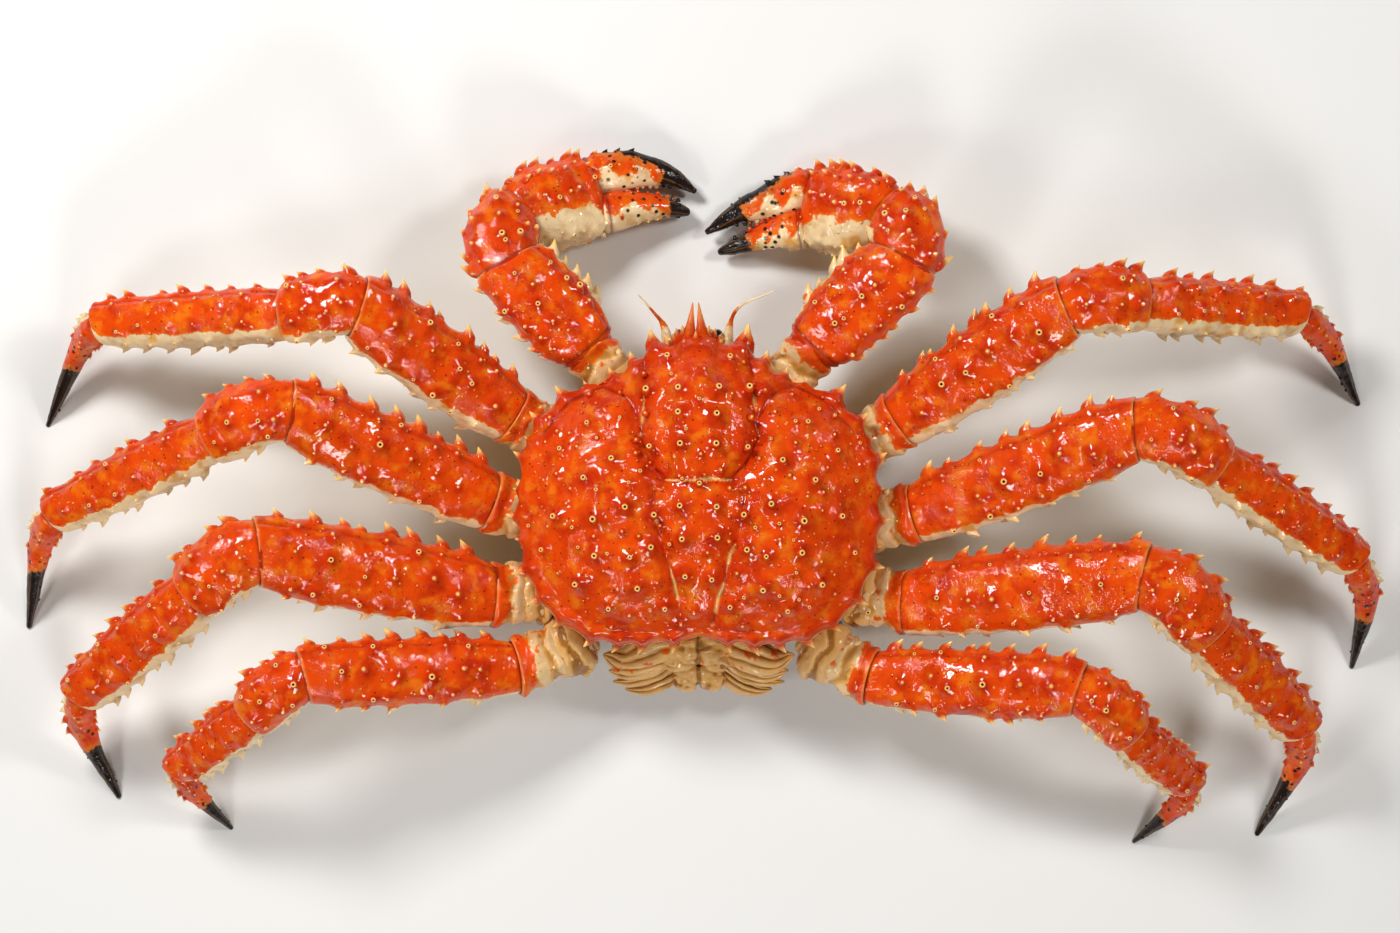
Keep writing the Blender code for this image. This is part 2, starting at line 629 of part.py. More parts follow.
def make_abdomen():
    """The tail: a fold behind the body and a flap laid forward under the belly."""
    fold = unit_tube(12, 6)
    half_width, half_depth, half_height = mm(50), mm(14), mm(15)
    for vert in fold.verts:
        across = vert.co.z * 2 - 1
        swell = math.sqrt(max(0.12, 1 - abs(across) ** 3))
        vert.co = (across * half_width, mm(-84) - half_depth + vert.co.y * half_depth * swell,
                   mm(34) + vert.co.x * half_height * swell)
    bmesh.ops.recalc_face_normals(fold, faces=fold.faces)
    cut(fold, Vector((0, BODY_LOW[1] - GAP, 0)), Vector((0, 1, 0)))
    add_node("abdomen_fold", fold, Vector((0, BODY_LOW[1], mm(34))), "cream_shell")
    flap = bmesh.new()
    bmesh.ops.create_uvsphere(flap, u_segments=20, v_segments=8, radius=1)
    for vert in flap.verts:
        vert.co = (vert.co.x * mm(36), mm(-26) + vert.co.y * mm(56), mm(15) + vert.co.z * mm(10))
    cut(flap, Vector((0, 0, BELLY_Z - GAP)), UP)
    add_node("abdomen_flap", flap, Vector((0, mm(-26), BELLY_Z)), "cream_shell")


MOUTH_LOW = mm(-15, 70.3, 16)
MOUTH_HIGH = mm(15, 76, 34)
PALP_LINE = (mm(8, 73, 21), mm(9, 82, 22), mm(8.5, 90, 28), mm(6.5, 92, 37))
PALP_WIDTH = mm(8)


def make_mouthparts():
    """The outer mouth limbs: a plate on the body with a bent palp on each side."""
    plate = block(MOUTH_LOW, MOUTH_HIGH)
    node = add_node("mouthparts", plate, Vector((0, 0, 0)), "cream_shell")
    palps = []
    for outer in (1, -1):
        line = [(x * outer, y, z) for x, y, z in PALP_LINE]
        palps.append(limb_tube("fixed", line, PALP_WIDTH, outer, (0, 0)))
    fuse(node, palps)


EYE_LINE = (mm(9, 78, 48.5), mm(10.5, 96, 49.5))
EYE_WIDTH = mm(6)
FEELER_WIDTH = mm(8)
FEELER_LINES = {
    "left": (mm(-16, 78, 47), mm(-19, 93, 48), mm(-25, 101, 55), mm(-33, 110, 62)),
    "right": (mm(16, 78, 47), mm(17, 93, 48), mm(23, 104, 57), mm(42, 112, 64)),
}


def make_eyes_and_feelers():
    forward = Vector((0, 1, 0))
    for side, outer in (("left", 1), ("right", -1)):
        eye_line = [(x * -outer, y, z) for x, y, z in EYE_LINE]
        eye = limb_tube("eye", eye_line, EYE_WIDTH, outer, (0.2, 0))
        cut(eye, Vector(eye_line[0]) + forward * GAP, -forward)
        add_node(f"eye_{side}", eye, eye_line[0], "eye_black")
        line = FEELER_LINES[side]
        feeler = limb_tube("feeler", line, FEELER_WIDTH, outer, (0.1, 0))
        cut(feeler, Vector(line[0]) + forward * GAP, -forward)
        add_node(f"feeler_{side}", feeler, line[0], "red_shell")


clear_scene()
make_materials()
make_carapace()
make_underbody()
make_abdomen()
make_mouthparts()
make_eyes_and_feelers()
make_legs()
make_claws()
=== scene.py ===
"""Looks of a life-size red king crab, seen from straight above on a pale floor.

+X is the crab's right side, +Y is forward, +Z is up and the floor is at Z = 0.
Lengths are metres. The crab's own sizes are millimetres, which MM makes metres.
"""

import itertools
import math
import random

import bmesh
import bpy
import numpy as np
from mathutils import Matrix, Vector


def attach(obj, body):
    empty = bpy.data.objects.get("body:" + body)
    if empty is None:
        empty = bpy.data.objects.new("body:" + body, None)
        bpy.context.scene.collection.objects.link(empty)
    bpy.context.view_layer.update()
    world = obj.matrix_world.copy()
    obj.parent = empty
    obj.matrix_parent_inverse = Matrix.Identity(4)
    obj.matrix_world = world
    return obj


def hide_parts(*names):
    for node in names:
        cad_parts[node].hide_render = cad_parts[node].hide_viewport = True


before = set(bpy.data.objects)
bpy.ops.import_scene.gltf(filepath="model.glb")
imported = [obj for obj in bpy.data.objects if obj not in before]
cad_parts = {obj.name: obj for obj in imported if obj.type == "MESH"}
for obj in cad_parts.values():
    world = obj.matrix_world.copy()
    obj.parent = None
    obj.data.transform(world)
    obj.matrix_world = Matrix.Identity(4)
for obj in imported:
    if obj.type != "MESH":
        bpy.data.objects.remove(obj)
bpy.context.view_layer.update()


# The studio: a camera straight above the crab, a soft box before its left side, low enough
# for the relief to show, weaker ones at both sides and behind it, and a pale floor.

CAMERA_PLACE = (0.0008, 0.016, 2.189)
CAMERA_LENS = 100
SENSOR_WIDTH = 36
FLOOR_HALF = 4.0
FLOOR_COLOUR = (0.80, 0.79, 0.77, 1)
FLOOR_ROUGHNESS = 0.7
ROOM_COLOUR = (1.0, 0.95, 0.87, 1)
ROOM_STRENGTH = 0.055
# Each soft box: its place, width and depth, and power in watts
SOFT_BOXES = (
    ("front_soft_box", (-0.70, 0.80, 1.00), (0.36, 0.28), 15.5),
    ("left_soft_box", (-0.84, -0.52, 1.00), (0.30, 0.24), 3.5),
    ("right_soft_box", (0.86, 0.45, 1.05), (0.28, 0.24), 7),
    ("back_soft_box", (0.1, -1.15, 0.95), (0.4, 0.26), 7.5),
)
SOFT_BOX_AIM = (0, 0, 0.05)


def new_material(name, plain):
    """A material whose Principled shader has these plain values on its own sockets."""
    material = bpy.data.materials.new(name)
    material.use_nodes = True
    shader = material.node_tree.nodes["Principled BSDF"]
    for socket, value in plain.items():
        shader.inputs[socket].default_value = value
    return material


camera_data = bpy.data.cameras.new("camera_above")
camera_data.lens = CAMERA_LENS
camera_data.sensor_width = SENSOR_WIDTH
camera = bpy.data.objects.new("camera_above", camera_data)
camera.location = CAMERA_PLACE
bpy.context.collection.objects.link(camera)
bpy.context.scene.camera = camera
bpy.context.scene.view_settings.view_transform = "Standard"

for box_name, box_place, (box_width, box_depth), box_watts in SOFT_BOXES:
    light = bpy.data.lights.new(box_name, "AREA")
    light.shape = "RECTANGLE"
    light.size, light.size_y = box_width, box_depth
    light.energy = box_watts
    lamp = bpy.data.objects.new(box_name, light)
    lamp.location = box_place
    aim = Vector(SOFT_BOX_AIM) - Vector(box_place)
    lamp.rotation_euler = aim.to_track_quat("-Z", "Y").to_euler()
    bpy.context.collection.objects.link(lamp)

room = bpy.data.worlds.new("pale_room")
room.use_nodes = True
room.node_tree.nodes["Background"].inputs["Color"].default_value = ROOM_COLOUR
room.node_tree.nodes["Background"].inputs["Strength"].default_value = ROOM_STRENGTH
bpy.context.scene.world = room

floor_bm = bmesh.new()
bmesh.ops.create_grid(floor_bm, x_segments=2, y_segments=2, size=FLOOR_HALF)
floor_mesh = bpy.data.meshes.new("floor")
floor_bm.to_mesh(floor_mesh)
floor_bm.free()
floor_mesh.materials.append(new_material("pale_floor", {
    "Base Color": FLOOR_COLOUR, "Roughness": FLOOR_ROUGHNESS}))
floor = bpy.data.objects.new("floor", floor_mesh)
bpy.context.collection.objects.link(floor)


# The shell is lime and horn under a wet gloss: orange-red with darker freckles and pale
# grains above, cream below, with cream spines and black horn at the ends of the claws.
# All of it is one finish, and attributes painted on the pieces say where each shows;
# some of them also paint shade: deep red into dips and brown into the creases of the skin.

MM = 0.001
ORANGE = (0.74, 0.063, 0.001, 1)
# Deep red of the shell's own patches and mounds, also painted as shade into the grooves' dips and
# the limbs' creases
DEEP_RED = (0.50, 0.020, 0.001, 1)
YELLOW_ORANGE = (0.80, 0.175, 0.005, 1)
FRECKLE = (0.10, 0.006, 0.002, 1)
GRAIN = (0.90, 0.42, 0.13, 1)
JOINT_RED = (0.19, 0.010, 0.002, 1)
CREAM = (0.84, 0.64, 0.36, 1)
TAN = (0.44, 0.21, 0.055, 1)
BODY_CREAM = (0.72, 0.37, 0.09, 1)
# Brown painted as shade into the creases of the cream skin
CREASE_SHADE_BROWN = (0.26, 0.09, 0.012, 1)
SPINE_CREAM = (0.95, 0.58, 0.17, 1)
PORE_BROWN = (0.05, 0.014, 0.005, 1)
HORN = (0.012, 0.008, 0.007, 1)
HORN_EDGE = (0.55, 0.20, 0.03, 1)
GLOSS = {"Specular IOR Level": 0.03, "Coat Weight": 0.72, "Coat Roughness": 0.05}
# Specks: their spacing in millimetres, their radius as a share of it, and how many are kept
LARGE_FRECKLES, SMALL_FRECKLES, GRAINS = (4.2, 0.17, 0.55), (2.3, 0.20, 0.25), (5.1, 0.16, 0.4)
CREAM_SPECKS, HORN_SPOTS = (4.0, 0.15, 0.3), (4.4, 0.36, 0.75)


def feed(tree, socket, value):
    """Links a socket to another one, or gives it a value of its own."""
    if isinstance(value, bpy.types.NodeSocket):
        tree.links.new(value, socket)
    else:
        socket.default_value = value


def add_node(tree, kind, inputs=None, **settings):
    """A shader node with its settings, and with values or links on its named inputs."""
    made = tree.nodes.new(kind)
    for name, value in settings.items():
        setattr(made, name, value)
    for name, value in (inputs or {}).items():
        feed(tree, made.inputs[name], value)
    return made


def mix(tree, factor, first, second):
    """The second colour over the first, as far as the factor says."""
    made = add_node(tree, "ShaderNodeMix", data_type="RGBA")
    for place, value in ((0, factor), (6, first), (7, second)):
        feed(tree, made.inputs[place], value)
    return made.outputs[2]


def ramp(tree, value, low, high, out_low=0.0, out_high=1.0):
    """The value brought from low and high to the new ends, smoothly and held beyond."""
    return add_node(tree, "ShaderNodeMapRange", {
        "Value": value, "From Min": low, "From Max": high,
        "To Min": out_low, "To Max": out_high,
    }, interpolation_type="SMOOTHSTEP").outputs["Result"]


def maths(tree, operation, first, second):
    """The sum, product or other result of two values."""
    made = add_node(tree, "ShaderNodeMath", operation=operation)
    for socket, value in zip(made.inputs, (first, second)):
        feed(tree, socket, value)
    return made.outputs[0]


def times(tree, first, second):
    """The product of two values."""
    return maths(tree, "MULTIPLY", first, second)


def painted(tree, name):
    """A value that is painted on the piece under this name."""
    return add_node(tree, "ShaderNodeAttribute", attribute_name=name).outputs["Fac"]


def cloud(tree, place, size, detail=3.0, twist=0.0):
    """Noise from 0 to 1 with clouds of the given size in metres."""
    return add_node(tree, "ShaderNodeTexNoise", {
        "Vector": place, "Scale": 1 / size, "Detail": detail, "Roughness": 0.55,
        "Distortion": twist,
    }).outputs["Fac"]


def patches(tree, place, size, low, high, out_low=0.0, out_high=1.0):
    """Clouds of the given size, cut down to patches with soft borders."""
    return ramp(tree, cloud(tree, place, size), low, high, out_low, out_high)


def ragged(tree, place, name, size, reach):
    """A painted distance past a border, made ragged by clouds of the given size."""
    wave = maths(tree, "SUBTRACT", cloud(tree, place, size), 0.5)
    return maths(tree, "ADD", painted(tree, name), times(tree, wave, reach))


def speckle_group():
    """A node group of round specks strewn over a surface, some of them left out."""
    group = bpy.data.node_groups.new("specks", "ShaderNodeTree")
    for name, kind, value in (("Position", "NodeSocketVector", None),
                              ("Spacing", "NodeSocketFloat", 3.0),
                              ("Radius", "NodeSocketFloat", 0.2),
                              ("Share", "NodeSocketFloat", 0.5)):
        socket = group.interface.new_socket(name=name, in_out="INPUT", socket_type=kind)
        if value is not None:
            socket.default_value = value
    group.interface.new_socket(name="Mask", in_out="OUTPUT", socket_type="NodeSocketFloat")
    entry = group.nodes.new("NodeGroupInput").outputs
    scale = maths(group, "DIVIDE", 1000.0, entry["Spacing"])
    cells = add_node(group, "ShaderNodeTexVoronoi",
                     {"Vector": entry["Position"], "Scale": scale})
    inner = times(group, entry["Radius"], 0.55)
    dot = ramp(group, cells.outputs["Distance"], entry["Radius"], inner)
    drawn = add_node(group, "ShaderNodeSeparateColor", {"Color": cells.outputs["Color"]})
    chosen = maths(group, "LESS_THAN", drawn.outputs[0], entry["Share"])
    leave = group.nodes.new("NodeGroupOutput")
    group.links.new(times(group, dot, chosen), leave.inputs["Mask"])
    return group


specks_group = speckle_group()


def specks(tree, place, spacing, radius, share):
    """A mask of specks over the surface."""
    made = add_node(tree, "ShaderNodeGroup", node_tree=specks_group)
    for name, value in (("Position", place), ("Spacing", spacing), ("Radius", radius),
                        ("Share", share)):
        feed(tree, made.inputs[name], value)
    return made.outputs["Mask"]


def shell_colour(tree, place):
    """The orange-red of the upper shell, with its freckles and pale grains."""
    red = patches(tree, place, 14 * MM, 0.46, 0.70, 0.0, 0.8)
    colour = mix(tree, red, ORANGE, DEEP_RED)
    yellow = patches(tree, place, 9 * MM, 0.48, 0.70, 0.0, 0.85)
    colour = mix(tree, yellow, colour, YELLOW_ORANGE)
    # Deep red round the spines' mounds, and painted shade in the dips of grooves and creases
    redder_and_shaded = times(tree, painted(tree, "mound_red_and_dip_shade"), patches(tree, place, 6 * MM, 0.35, 0.65, 0.55))
    colour = mix(tree, redder_and_shaded, colour, DEEP_RED)
    freckles = maths(tree, "MAXIMUM", specks(tree, place, *LARGE_FRECKLES),
                     specks(tree, place, *SMALL_FRECKLES))
    colour = mix(tree, times(tree, freckles, 0.85), colour, FRECKLE)
    return mix(tree, times(tree, specks(tree, place, *GRAINS), 0.6), colour, GRAIN)


def cream_colour(tree, place):
    """The cream of the underside and of the skin, with tan clouds and orange specks."""
    colour = mix(tree, patches(tree, place, 11 * MM, 0.45, 0.78, 0.0, 0.7), CREAM, TAN)
    return mix(tree, specks(tree, place, *CREAM_SPECKS), colour, YELLOW_ORANGE)


def wrinkled_normal(tree, place):
    """The normal of the shell's wrinkles, wide ones and patches of fine, in millimetres."""
    wide = times(tree, cloud(tree, place, 5.5 * MM, 1.5, 1.0), 0.34)
    fine = times(tree, cloud(tree, place, 2.3 * MM, 1.0, 2.0),
                 patches(tree, place, 16 * MM, 0.42, 0.58, 0.0, 0.32))
    plain = maths(tree, "SUBTRACT", 1.0, times(tree, painted(tree, "mound_red_and_dip_shade"), 0.75))
    height = times(tree, maths(tree, "ADD", wide, fine), plain)
    return add_node(tree, "ShaderNodeBump",
                    {"Height": height, "Strength": 1.0, "Distance": MM}).outputs["Normal"]


def make_shell_material(name):
    """The whole crab's shell. The paints cream and horn are distances past a border in
    millimetres, and tip, pore, groove, mound, spotted, fold and ridge run from 0 to 1. Of these,
    mound also paints deep red shade into dips, and fold paints brown shade into creases."""
    material = new_material(name, GLOSS)
    tree = material.node_tree
    place = add_node(tree, "ShaderNodeTexCoord").outputs["Object"]
    colour = shell_colour(tree, place)
    border = ragged(tree, place, "cream", 7 * MM, 11.0)
    colour = mix(tree, ramp(tree, border, -2.5, 0.2, 0.0, 0.6), colour, YELLOW_ORANGE)
    # The paint for folds picks the body's cream at low values, and at higher ones paints brown
    # shade into the creases
    body_tone_and_crease_shade = painted(tree, "body_tone_and_crease_shade")
    cream = mix(tree, ramp(tree, body_tone_and_crease_shade, 0.0, 0.3), cream_colour(tree, place), BODY_CREAM)
    cream = mix(tree, ramp(tree, body_tone_and_crease_shade, 0.3, 1.0, 0.0, 0.8), cream, CREASE_SHADE_BROWN)
    colour = mix(tree, ramp(tree, border, -0.4, 0.6), colour, cream)
    colour = mix(tree, times(tree, painted(tree, "groove"), 0.92), colour, JOINT_RED)
    colour = mix(tree, painted(tree, "tip"), colour, SPINE_CREAM)
    horn_border = ragged(tree, place, "horn", 5 * MM, 9.0)
    colour = mix(tree, ramp(tree, horn_border, -4.0, -0.5, 0.0, 0.6), colour, HORN_EDGE)
    horn = mix(tree, times(tree, painted(tree, "ridge"), 0.35), HORN, HORN_EDGE)
    colour = mix(tree, ramp(tree, horn_border, -0.5, 0.8), colour, horn)
    spots = times(tree, painted(tree, "spotted"), specks(tree, place, *HORN_SPOTS))
    colour = mix(tree, spots, colour, HORN)
    colour = mix(tree, painted(tree, "pore"), colour, PORE_BROWN)
    normal = wrinkled_normal(tree, place)
    roughness = patches(tree, place, 8 * MM, 0.3, 0.7, 0.4, 0.6)
    for name, socket in (("Base Color", colour), ("Roughness", roughness), ("Normal", normal),
                         ("Coat Normal", normal)):
        tree.links.new(socket, tree.nodes["Principled BSDF"].inputs[name])
    return material


shell_material = make_shell_material("wet_orange_shell")


# Spines: each a hard cone that grows out of a swelling of the shell. Those of the back
# end in a blunt ring round a dark pore, and those of the edges are sharp and curve
# towards the limb's tip, with pale beads strewn between. All are joined to their piece.

SPINE_SIDES = 8
RINGED_PROFILE = ((-0.45, 1.5), (0.08, 1.1), (0.45, 0.88), (0.84, 0.78), (1.0, 0.62),
                  (0.94, 0.42), (0.6, 0.32))
BLUNT_PROFILE = ((-0.45, 1.6), (0.08, 1.1), (0.4, 0.66), (0.78, 0.38), (0.96, 0.2), (1.0, 0.06))
SHARP_PROFILE = ((-0.7, 1.35), (-0.15, 1.2), (0.12, 0.92), (0.38, 0.6), (0.68, 0.33),
                 (0.95, 0.12), (1.0, 0.04))
BEAD_PROFILE = ((-0.5, 1.25), (0.15, 1.05), (0.6, 0.75), (0.92, 0.35), (1.0, 0.08))
SPINE_CURVE = 0.35
PORE_RADIUS = 0.38
# Heights between which each form turns from the shell's colour to cream, and how red a
# spine's root is
TIP_CREAM = {"ringed": (0.55, 0.95), "sharp": (0.25, 0.62), "blunt": (0.35, 0.85),
             "bead": (0.5, 1.3)}
ROOT_REDNESS = 0.5
# Every paint of the shell, and the values that keep the two distances off
PAINTS = ("cream", "tip", "pore", "groove", "mound_red_and_dip_shade", "horn", "spotted", "body_tone_and_crease_shade", "ridge")
OFF = {"cream": -30.0, "horn": -30.0}

chance = random.Random(23)


def spine_mesh(name, profile, curve):
    """A spine of height 1 and radius 1 that leans towards +X as it rises."""
    bm = bmesh.new()
    bmesh.ops.create_circle(bm, cap_ends=True, segments=SPINE_SIDES, radius=profile[0][1])
    bmesh.ops.translate(bm, verts=bm.verts, vec=(0, 0, profile[0][0]))
    bmesh.ops.reverse_faces(bm, faces=bm.faces)
    rim = list(bm.edges)
    for (_, radius), (rise, next_radius) in zip(profile, profile[1:]):
        raised = bmesh.ops.extrude_edge_only(bm, edges=rim)["geom"]
        rim = [g for g in raised if isinstance(g, bmesh.types.BMEdge)]
        for vert in {v for e in rim for v in e.verts}:
            vert.co.x *= next_radius / radius
            vert.co.y *= next_radius / radius
            vert.co.z = rise
    bmesh.ops.holes_fill(bm, edges=rim, sides=0)
    bmesh.ops.recalc_face_normals(bm, faces=bm.faces)
    for vert in bm.verts:
        vert.co.x += curve * max(0.0, vert.co.z) ** 2
    mesh = bpy.data.meshes.new(name)
    bm.to_mesh(mesh)
    bm.free()
    return mesh


SPINES = {
    "ringed": spine_mesh("ringed_spine", RINGED_PROFILE, 0.0),
    "sharp": spine_mesh("sharp_spine", SHARP_PROFILE, SPINE_CURVE),
    "blunt": spine_mesh("blunt_spine", BLUNT_PROFILE, 0.0),
    "bead": spine_mesh("bead", BEAD_PROFILE, 0.0),
}


def coordinates(mesh):
    """The places of a mesh's vertices, one row each."""
    flat = np.empty(len(mesh.vertices) * 3)
    mesh.vertices.foreach_get("co", flat)
    return flat.reshape(-1, 3)


def smoothstep(values, low, high):
    """0 below the low value and 1 above the high one, with a smooth rise between."""
    share = np.clip((values - low) / (high - low), 0, 1)
    return share * share * (3 - 2 * share)


def spine_paint(form):
    """How cream and how dark each vertex of a spine is."""
    places = coordinates(SPINES[form])
    pore = (np.hypot(places[:, 0], places[:, 1]) < PORE_RADIUS) & (places[:, 2] > 0.5)
    return smoothstep(places[:, 2], *TIP_CREAM[form]), pore * float(form == "ringed")


def lumps(places, size, seed):
    """Smooth noise from -1 to 1 at each place, with lumps of the given size."""
    cells = places / size + seed * 17.31
    corner = np.floor(cells)
    share = cells - corner
    share = share * share * (3 - 2 * share)
    total = np.zeros(len(places))
    for step in itertools.product((0, 1), repeat=3):
        wave = np.sin((corner + step) @ (12.9898, 78.233, 37.719)) * 43758.5453
        weight = np.prod(np.where(step, share, 1 - share), axis=1)
        total += (wave - np.floor(wave)) * weight
    return total * 2 - 1


def folds(places, stretch, seed):
    """Wrinkles from -1 to 1, with the given length in millimetres along X, Y and Z."""
    size = np.array(stretch) * MM
    bent = places + np.stack([lumps(places, 14 * MM, seed + k) for k in range(3)], 1) * 3 * MM
    wave = lumps(bent / size, 1.0, seed)
    return (1 - np.abs(wave) * 2.2) * 0.5 + lumps(places, 6 * MM, seed + 5) * 0.5


class Spine:
    """A spine to be set: its form, root, axis, lean, radius of the root and height."""

    paleness, spot = 1.0, None

    def __init__(self, form, root, axis, lean, radius, height):
        self.form, self.root, self.axis = form, Vector(root), Vector(axis).normalized()
        side = Vector(lean) - self.axis * self.axis.dot(Vector(lean))
        self.side = side.normalized() if side.length > 1e-6 else self.axis.orthogonal()
        self.radius, self.height, self.paints = radius, height, dict(OFF)

    def matrix(self):
        """What brings the spine of height 1 and radius 1 to its place."""
        third = self.axis.cross(self.side)
        turn = Matrix((self.side, third, self.axis)).transposed().to_4x4()
        size = Matrix.Diagonal((self.radius, self.radius, self.height, 1))
        return Matrix.Translation(self.root) @ turn @ size


def finish_piece(name, bm, places, paints, slot, nodes, spines=(), material=shell_material):
    """Makes a piece of a shell and its spines, with the shell's vertices at the places. The
    paints are rows of values for those vertices, by name."""
    shell_mesh = bpy.data.meshes.new(name + "_shell")
    bm.to_mesh(shell_mesh)
    bm.free()
    shell_mesh.vertices.foreach_set("co", places.ravel())
    whole = bmesh.new()
    whole.from_mesh(shell_mesh)
    bpy.data.meshes.remove(shell_mesh)
    plain = {key: np.full(len(places), OFF.get(key, 0.0)) for key in PAINTS}
    values = {key: [row] for key, row in (plain | paints).items()}
    for spine in spines:
        copy = SPINES[spine.form].copy()
        copy.transform(spine.matrix())
        whole.from_mesh(copy)
        bpy.data.meshes.remove(copy)
        tip, pore = spine_paint(spine.form)
        tip = tip * spine.paleness
        rows = {"tip": tip, "pore": pore, "mound_red_and_dip_shade": (1 - tip) * ROOT_REDNESS}
        for key in PAINTS:
            values[key].append(rows.get(key, np.full(len(tip), spine.paints.get(key, 0.0))))
    for vert in whole.verts:
        vert.co.z = max(vert.co.z, 0.0)
    mesh = bpy.data.meshes.new(name)
    whole.to_mesh(mesh)
    whole.free()
    for key, rows in values.items():
        layer = mesh.attributes.new(key, "FLOAT", "POINT")
        layer.data.foreach_set("value", np.concatenate(rows))
    mesh.materials.append(material)
    mesh.shade_smooth()
    piece = bpy.data.objects.new(name, mesh)
    bpy.context.collection.objects.link(piece)
    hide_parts(*nodes)
    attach(piece, "root")


# The carapace: one domed shield of hard limy shell, cast off and grown anew in one piece,
# with swollen regions parted by grooves, spines on its back and round its margin, and a
# forked rostrum in front. Its rim turns in below, over the body.

UP = Vector((0, 0, 1))
SEAM_Z = 54 * MM
DOME_RISE = 46 * MM
MARGIN_RISE = 4 * MM
# How far the margin between the spines lies inside the outline, in millimetres
MARGIN_SINK = 5.2
MARGIN_SPINE_Z = 60.5 * MM
REGION_ALLOWANCE = 9 * MM
CARAPACE_SIDES = 440
CARAPACE_RINGS = 240
RIM_RINGS = 5
# One half of the outline, from the front's middle round to the rear's
OUTLINE = [(x * MM, y * MM) for x, y in (
    (0, 94), (9, 93), (12.5, 87), (16, 84), (20, 86), (24, 86), (31, 78), (40, 71.5),
    (50, 65.5), (63, 62), (78.5, 54),
    (91, 41), (98, 24), (101, 6), (101, -14), (98.5, -36), (91.5, -55), (80.5, -70),
    (64, -80), (46, -83.5), (22, -83.5), (0, -81))]
# Swollen regions of one half: place, half width and half length, and rise in millimetres
SWELLINGS = (
    ((0, 38), (24, 34), 9), ((0, -14), (17, 22), 5), ((0, 70), (13, 14), 5),
    ((54, -4), (32, 36), 11), ((46, -46), (32, 22), 5), ((38, 60), (11, 10), 4),
)
# Grooves of one half: start, end and depth, and how much cream some show in their crease
GROOVES = (
    ((29, 72), (30, 58), 2.4), ((30, 58), (32, 33), 4.0), ((32, 33), (24, 16), 4.4),
    ((24, 16), (17, 8.8), 3.6), ((17, 8.8), (0, 8.5), 2.4), ((24, 2), (25, -7), 2.6),
    ((25, -7), (19, -27), 2.4), ((19, -27), (11, -55), 2.0), ((11, -55), (8, -70), 1.6),
    ((32, 40), (38, 53), 3.4), ((38, 53), (52, 60), 3.0), ((52, 60), (70, 52), 2.4),
    ((70, 52), (84, 34), 1.8),
)
DASHED_GROOVES = {1: 0.8, 4: 1.5, 6: 0.6, 7: 0.75, 8: 0.75}
# Half width of the crease at the bottom of a groove, and of the dip round it
GROOVE_WIDTHS = (0.8, 4.8)
# Spines of the margin, the same on both sides: degrees from the front, and size
MARGIN_SPINES = (
    (15.5, 12), (26, 9.5), (36.5, 7.5), (45, 5), (54, 10), (64, 8), (71, 5), (78, 8.5),
    (88, 5), (97.5, 8.5), (105, 5), (113, 8), (123.5, 7.5), (133, 6), (142, 7), (151, 6),
    (160.5, 6.5), (170, 6),
)
# How far past the margin such a spine is rooted, its radius and its height, all as shares
# of its size, and its lean: first those of the front and sides, then those of the rear
SIDE_HOOK, REAR_HOOK = (0.5, 0.38, 0.72, (0, 0.2, 0.2)), (0.45, 0.45, 0.95, (0, 0, 0.5))
REAR_FROM = 108
# Large spines of the back: place, and height, of which BLUNT_SHARE is built
BACK_SPINES = (
    (10, 59, 4.4), (10, 45, 4.4), (10, 29, 4.4), (0, 8, 3), (10, -5, 4), (9.5, -22, 4),
    (7, -44, 3.4), (25, -9, 4), (26, -28, 4), (40, -5, 4.2), (57, -13, 5), (56, -31, 4.2),
    (75, 25, 3), (46, 20, 4), (62, 9, 4), (77, -10, 4), (36, -33, 3), (34, -50, 4),
    (67, -47, 4), (49, -61, 3.2), (28, 58, 4.6), (27, 26, 3.4), (18, -60, 3.2),
    (84, -30, 3), (60, 40, 3), (16, 76, 4),
)
BLUNT_SHARE = 0.6
# Height of the swelling under a spine of the back, in millimetres
BACK_LIFT = 4.0
# How many spines there are with the small ones, how many beads, and where both are
# strewn: least and greatest X, then least and greatest Y
SMALL_SPINES, SMALL_SPINE_FIELD, SMALL_SPINE_GAP = 150, ((-92, 92), (-78, 84)), 7.5
BACK_BEADS, BEAD_FIELD = 420, ((-96, 96), (-82, 88))
# The two round muscle scars, and their radius, half width and depth
SCARS, SCAR_RING, SCAR_DEPTH = ((21.8, 7.3), (-21.8, 7.3)), (2.3, 0.55), 0.5
# Webs at the feet of the margin's spines: their spread in radians, how far out they reach
# as a share of the spine's height, and how much of that they lose at the rear
MARGIN_WEB_SPREAD, MARGIN_WEB_REACH, REAR_WEB_LOSS = 0.062, 1.25, 0.6
# Width of a mound as a share of its spine's radius, and what deepens the grooves as built
BACK_MOUND_SPREAD, GROOVE_DEEPENING = 2.7, 1.6
# Sizes and heights of the shell's lumps, in millimetres
BACK_LUMPS = ((10, 1.0), (3.6, 0.36), (1.6, 0.07))
# Spines of the rostrum: root, tip and radius
ROSTRUM_SPINES = (
    ((2.0, 87, 70), (-0.1, 105.5, 78), 3.7), ((-5.0, 87, 70), (-3.1, 105.5, 78), 3.7),
    ((5.0, 88, 69), (6.0, 93.5, 74), 2.6), ((-8.0, 88, 69), (-9.0, 93.5, 74), 2.6),
    ((8.0, 87, 66), (9.5, 92, 71), 2.4), ((-11.0, 87, 66), (-12.5, 92, 71), 2.4),
    ((11.0, 85, 64), (13, 89, 69), 2.2), ((-12.5, 85, 64), (-14.5, 89, 69), 2.2),
    ((-1.5, 85, 74), (-1.5, 90, 78), 2.0), ((5.0, 82, 73), (5.5, 85.5, 78), 2.6),
    ((-7.5, 82, 73), (-8, 85.5, 78), 2.6),
)


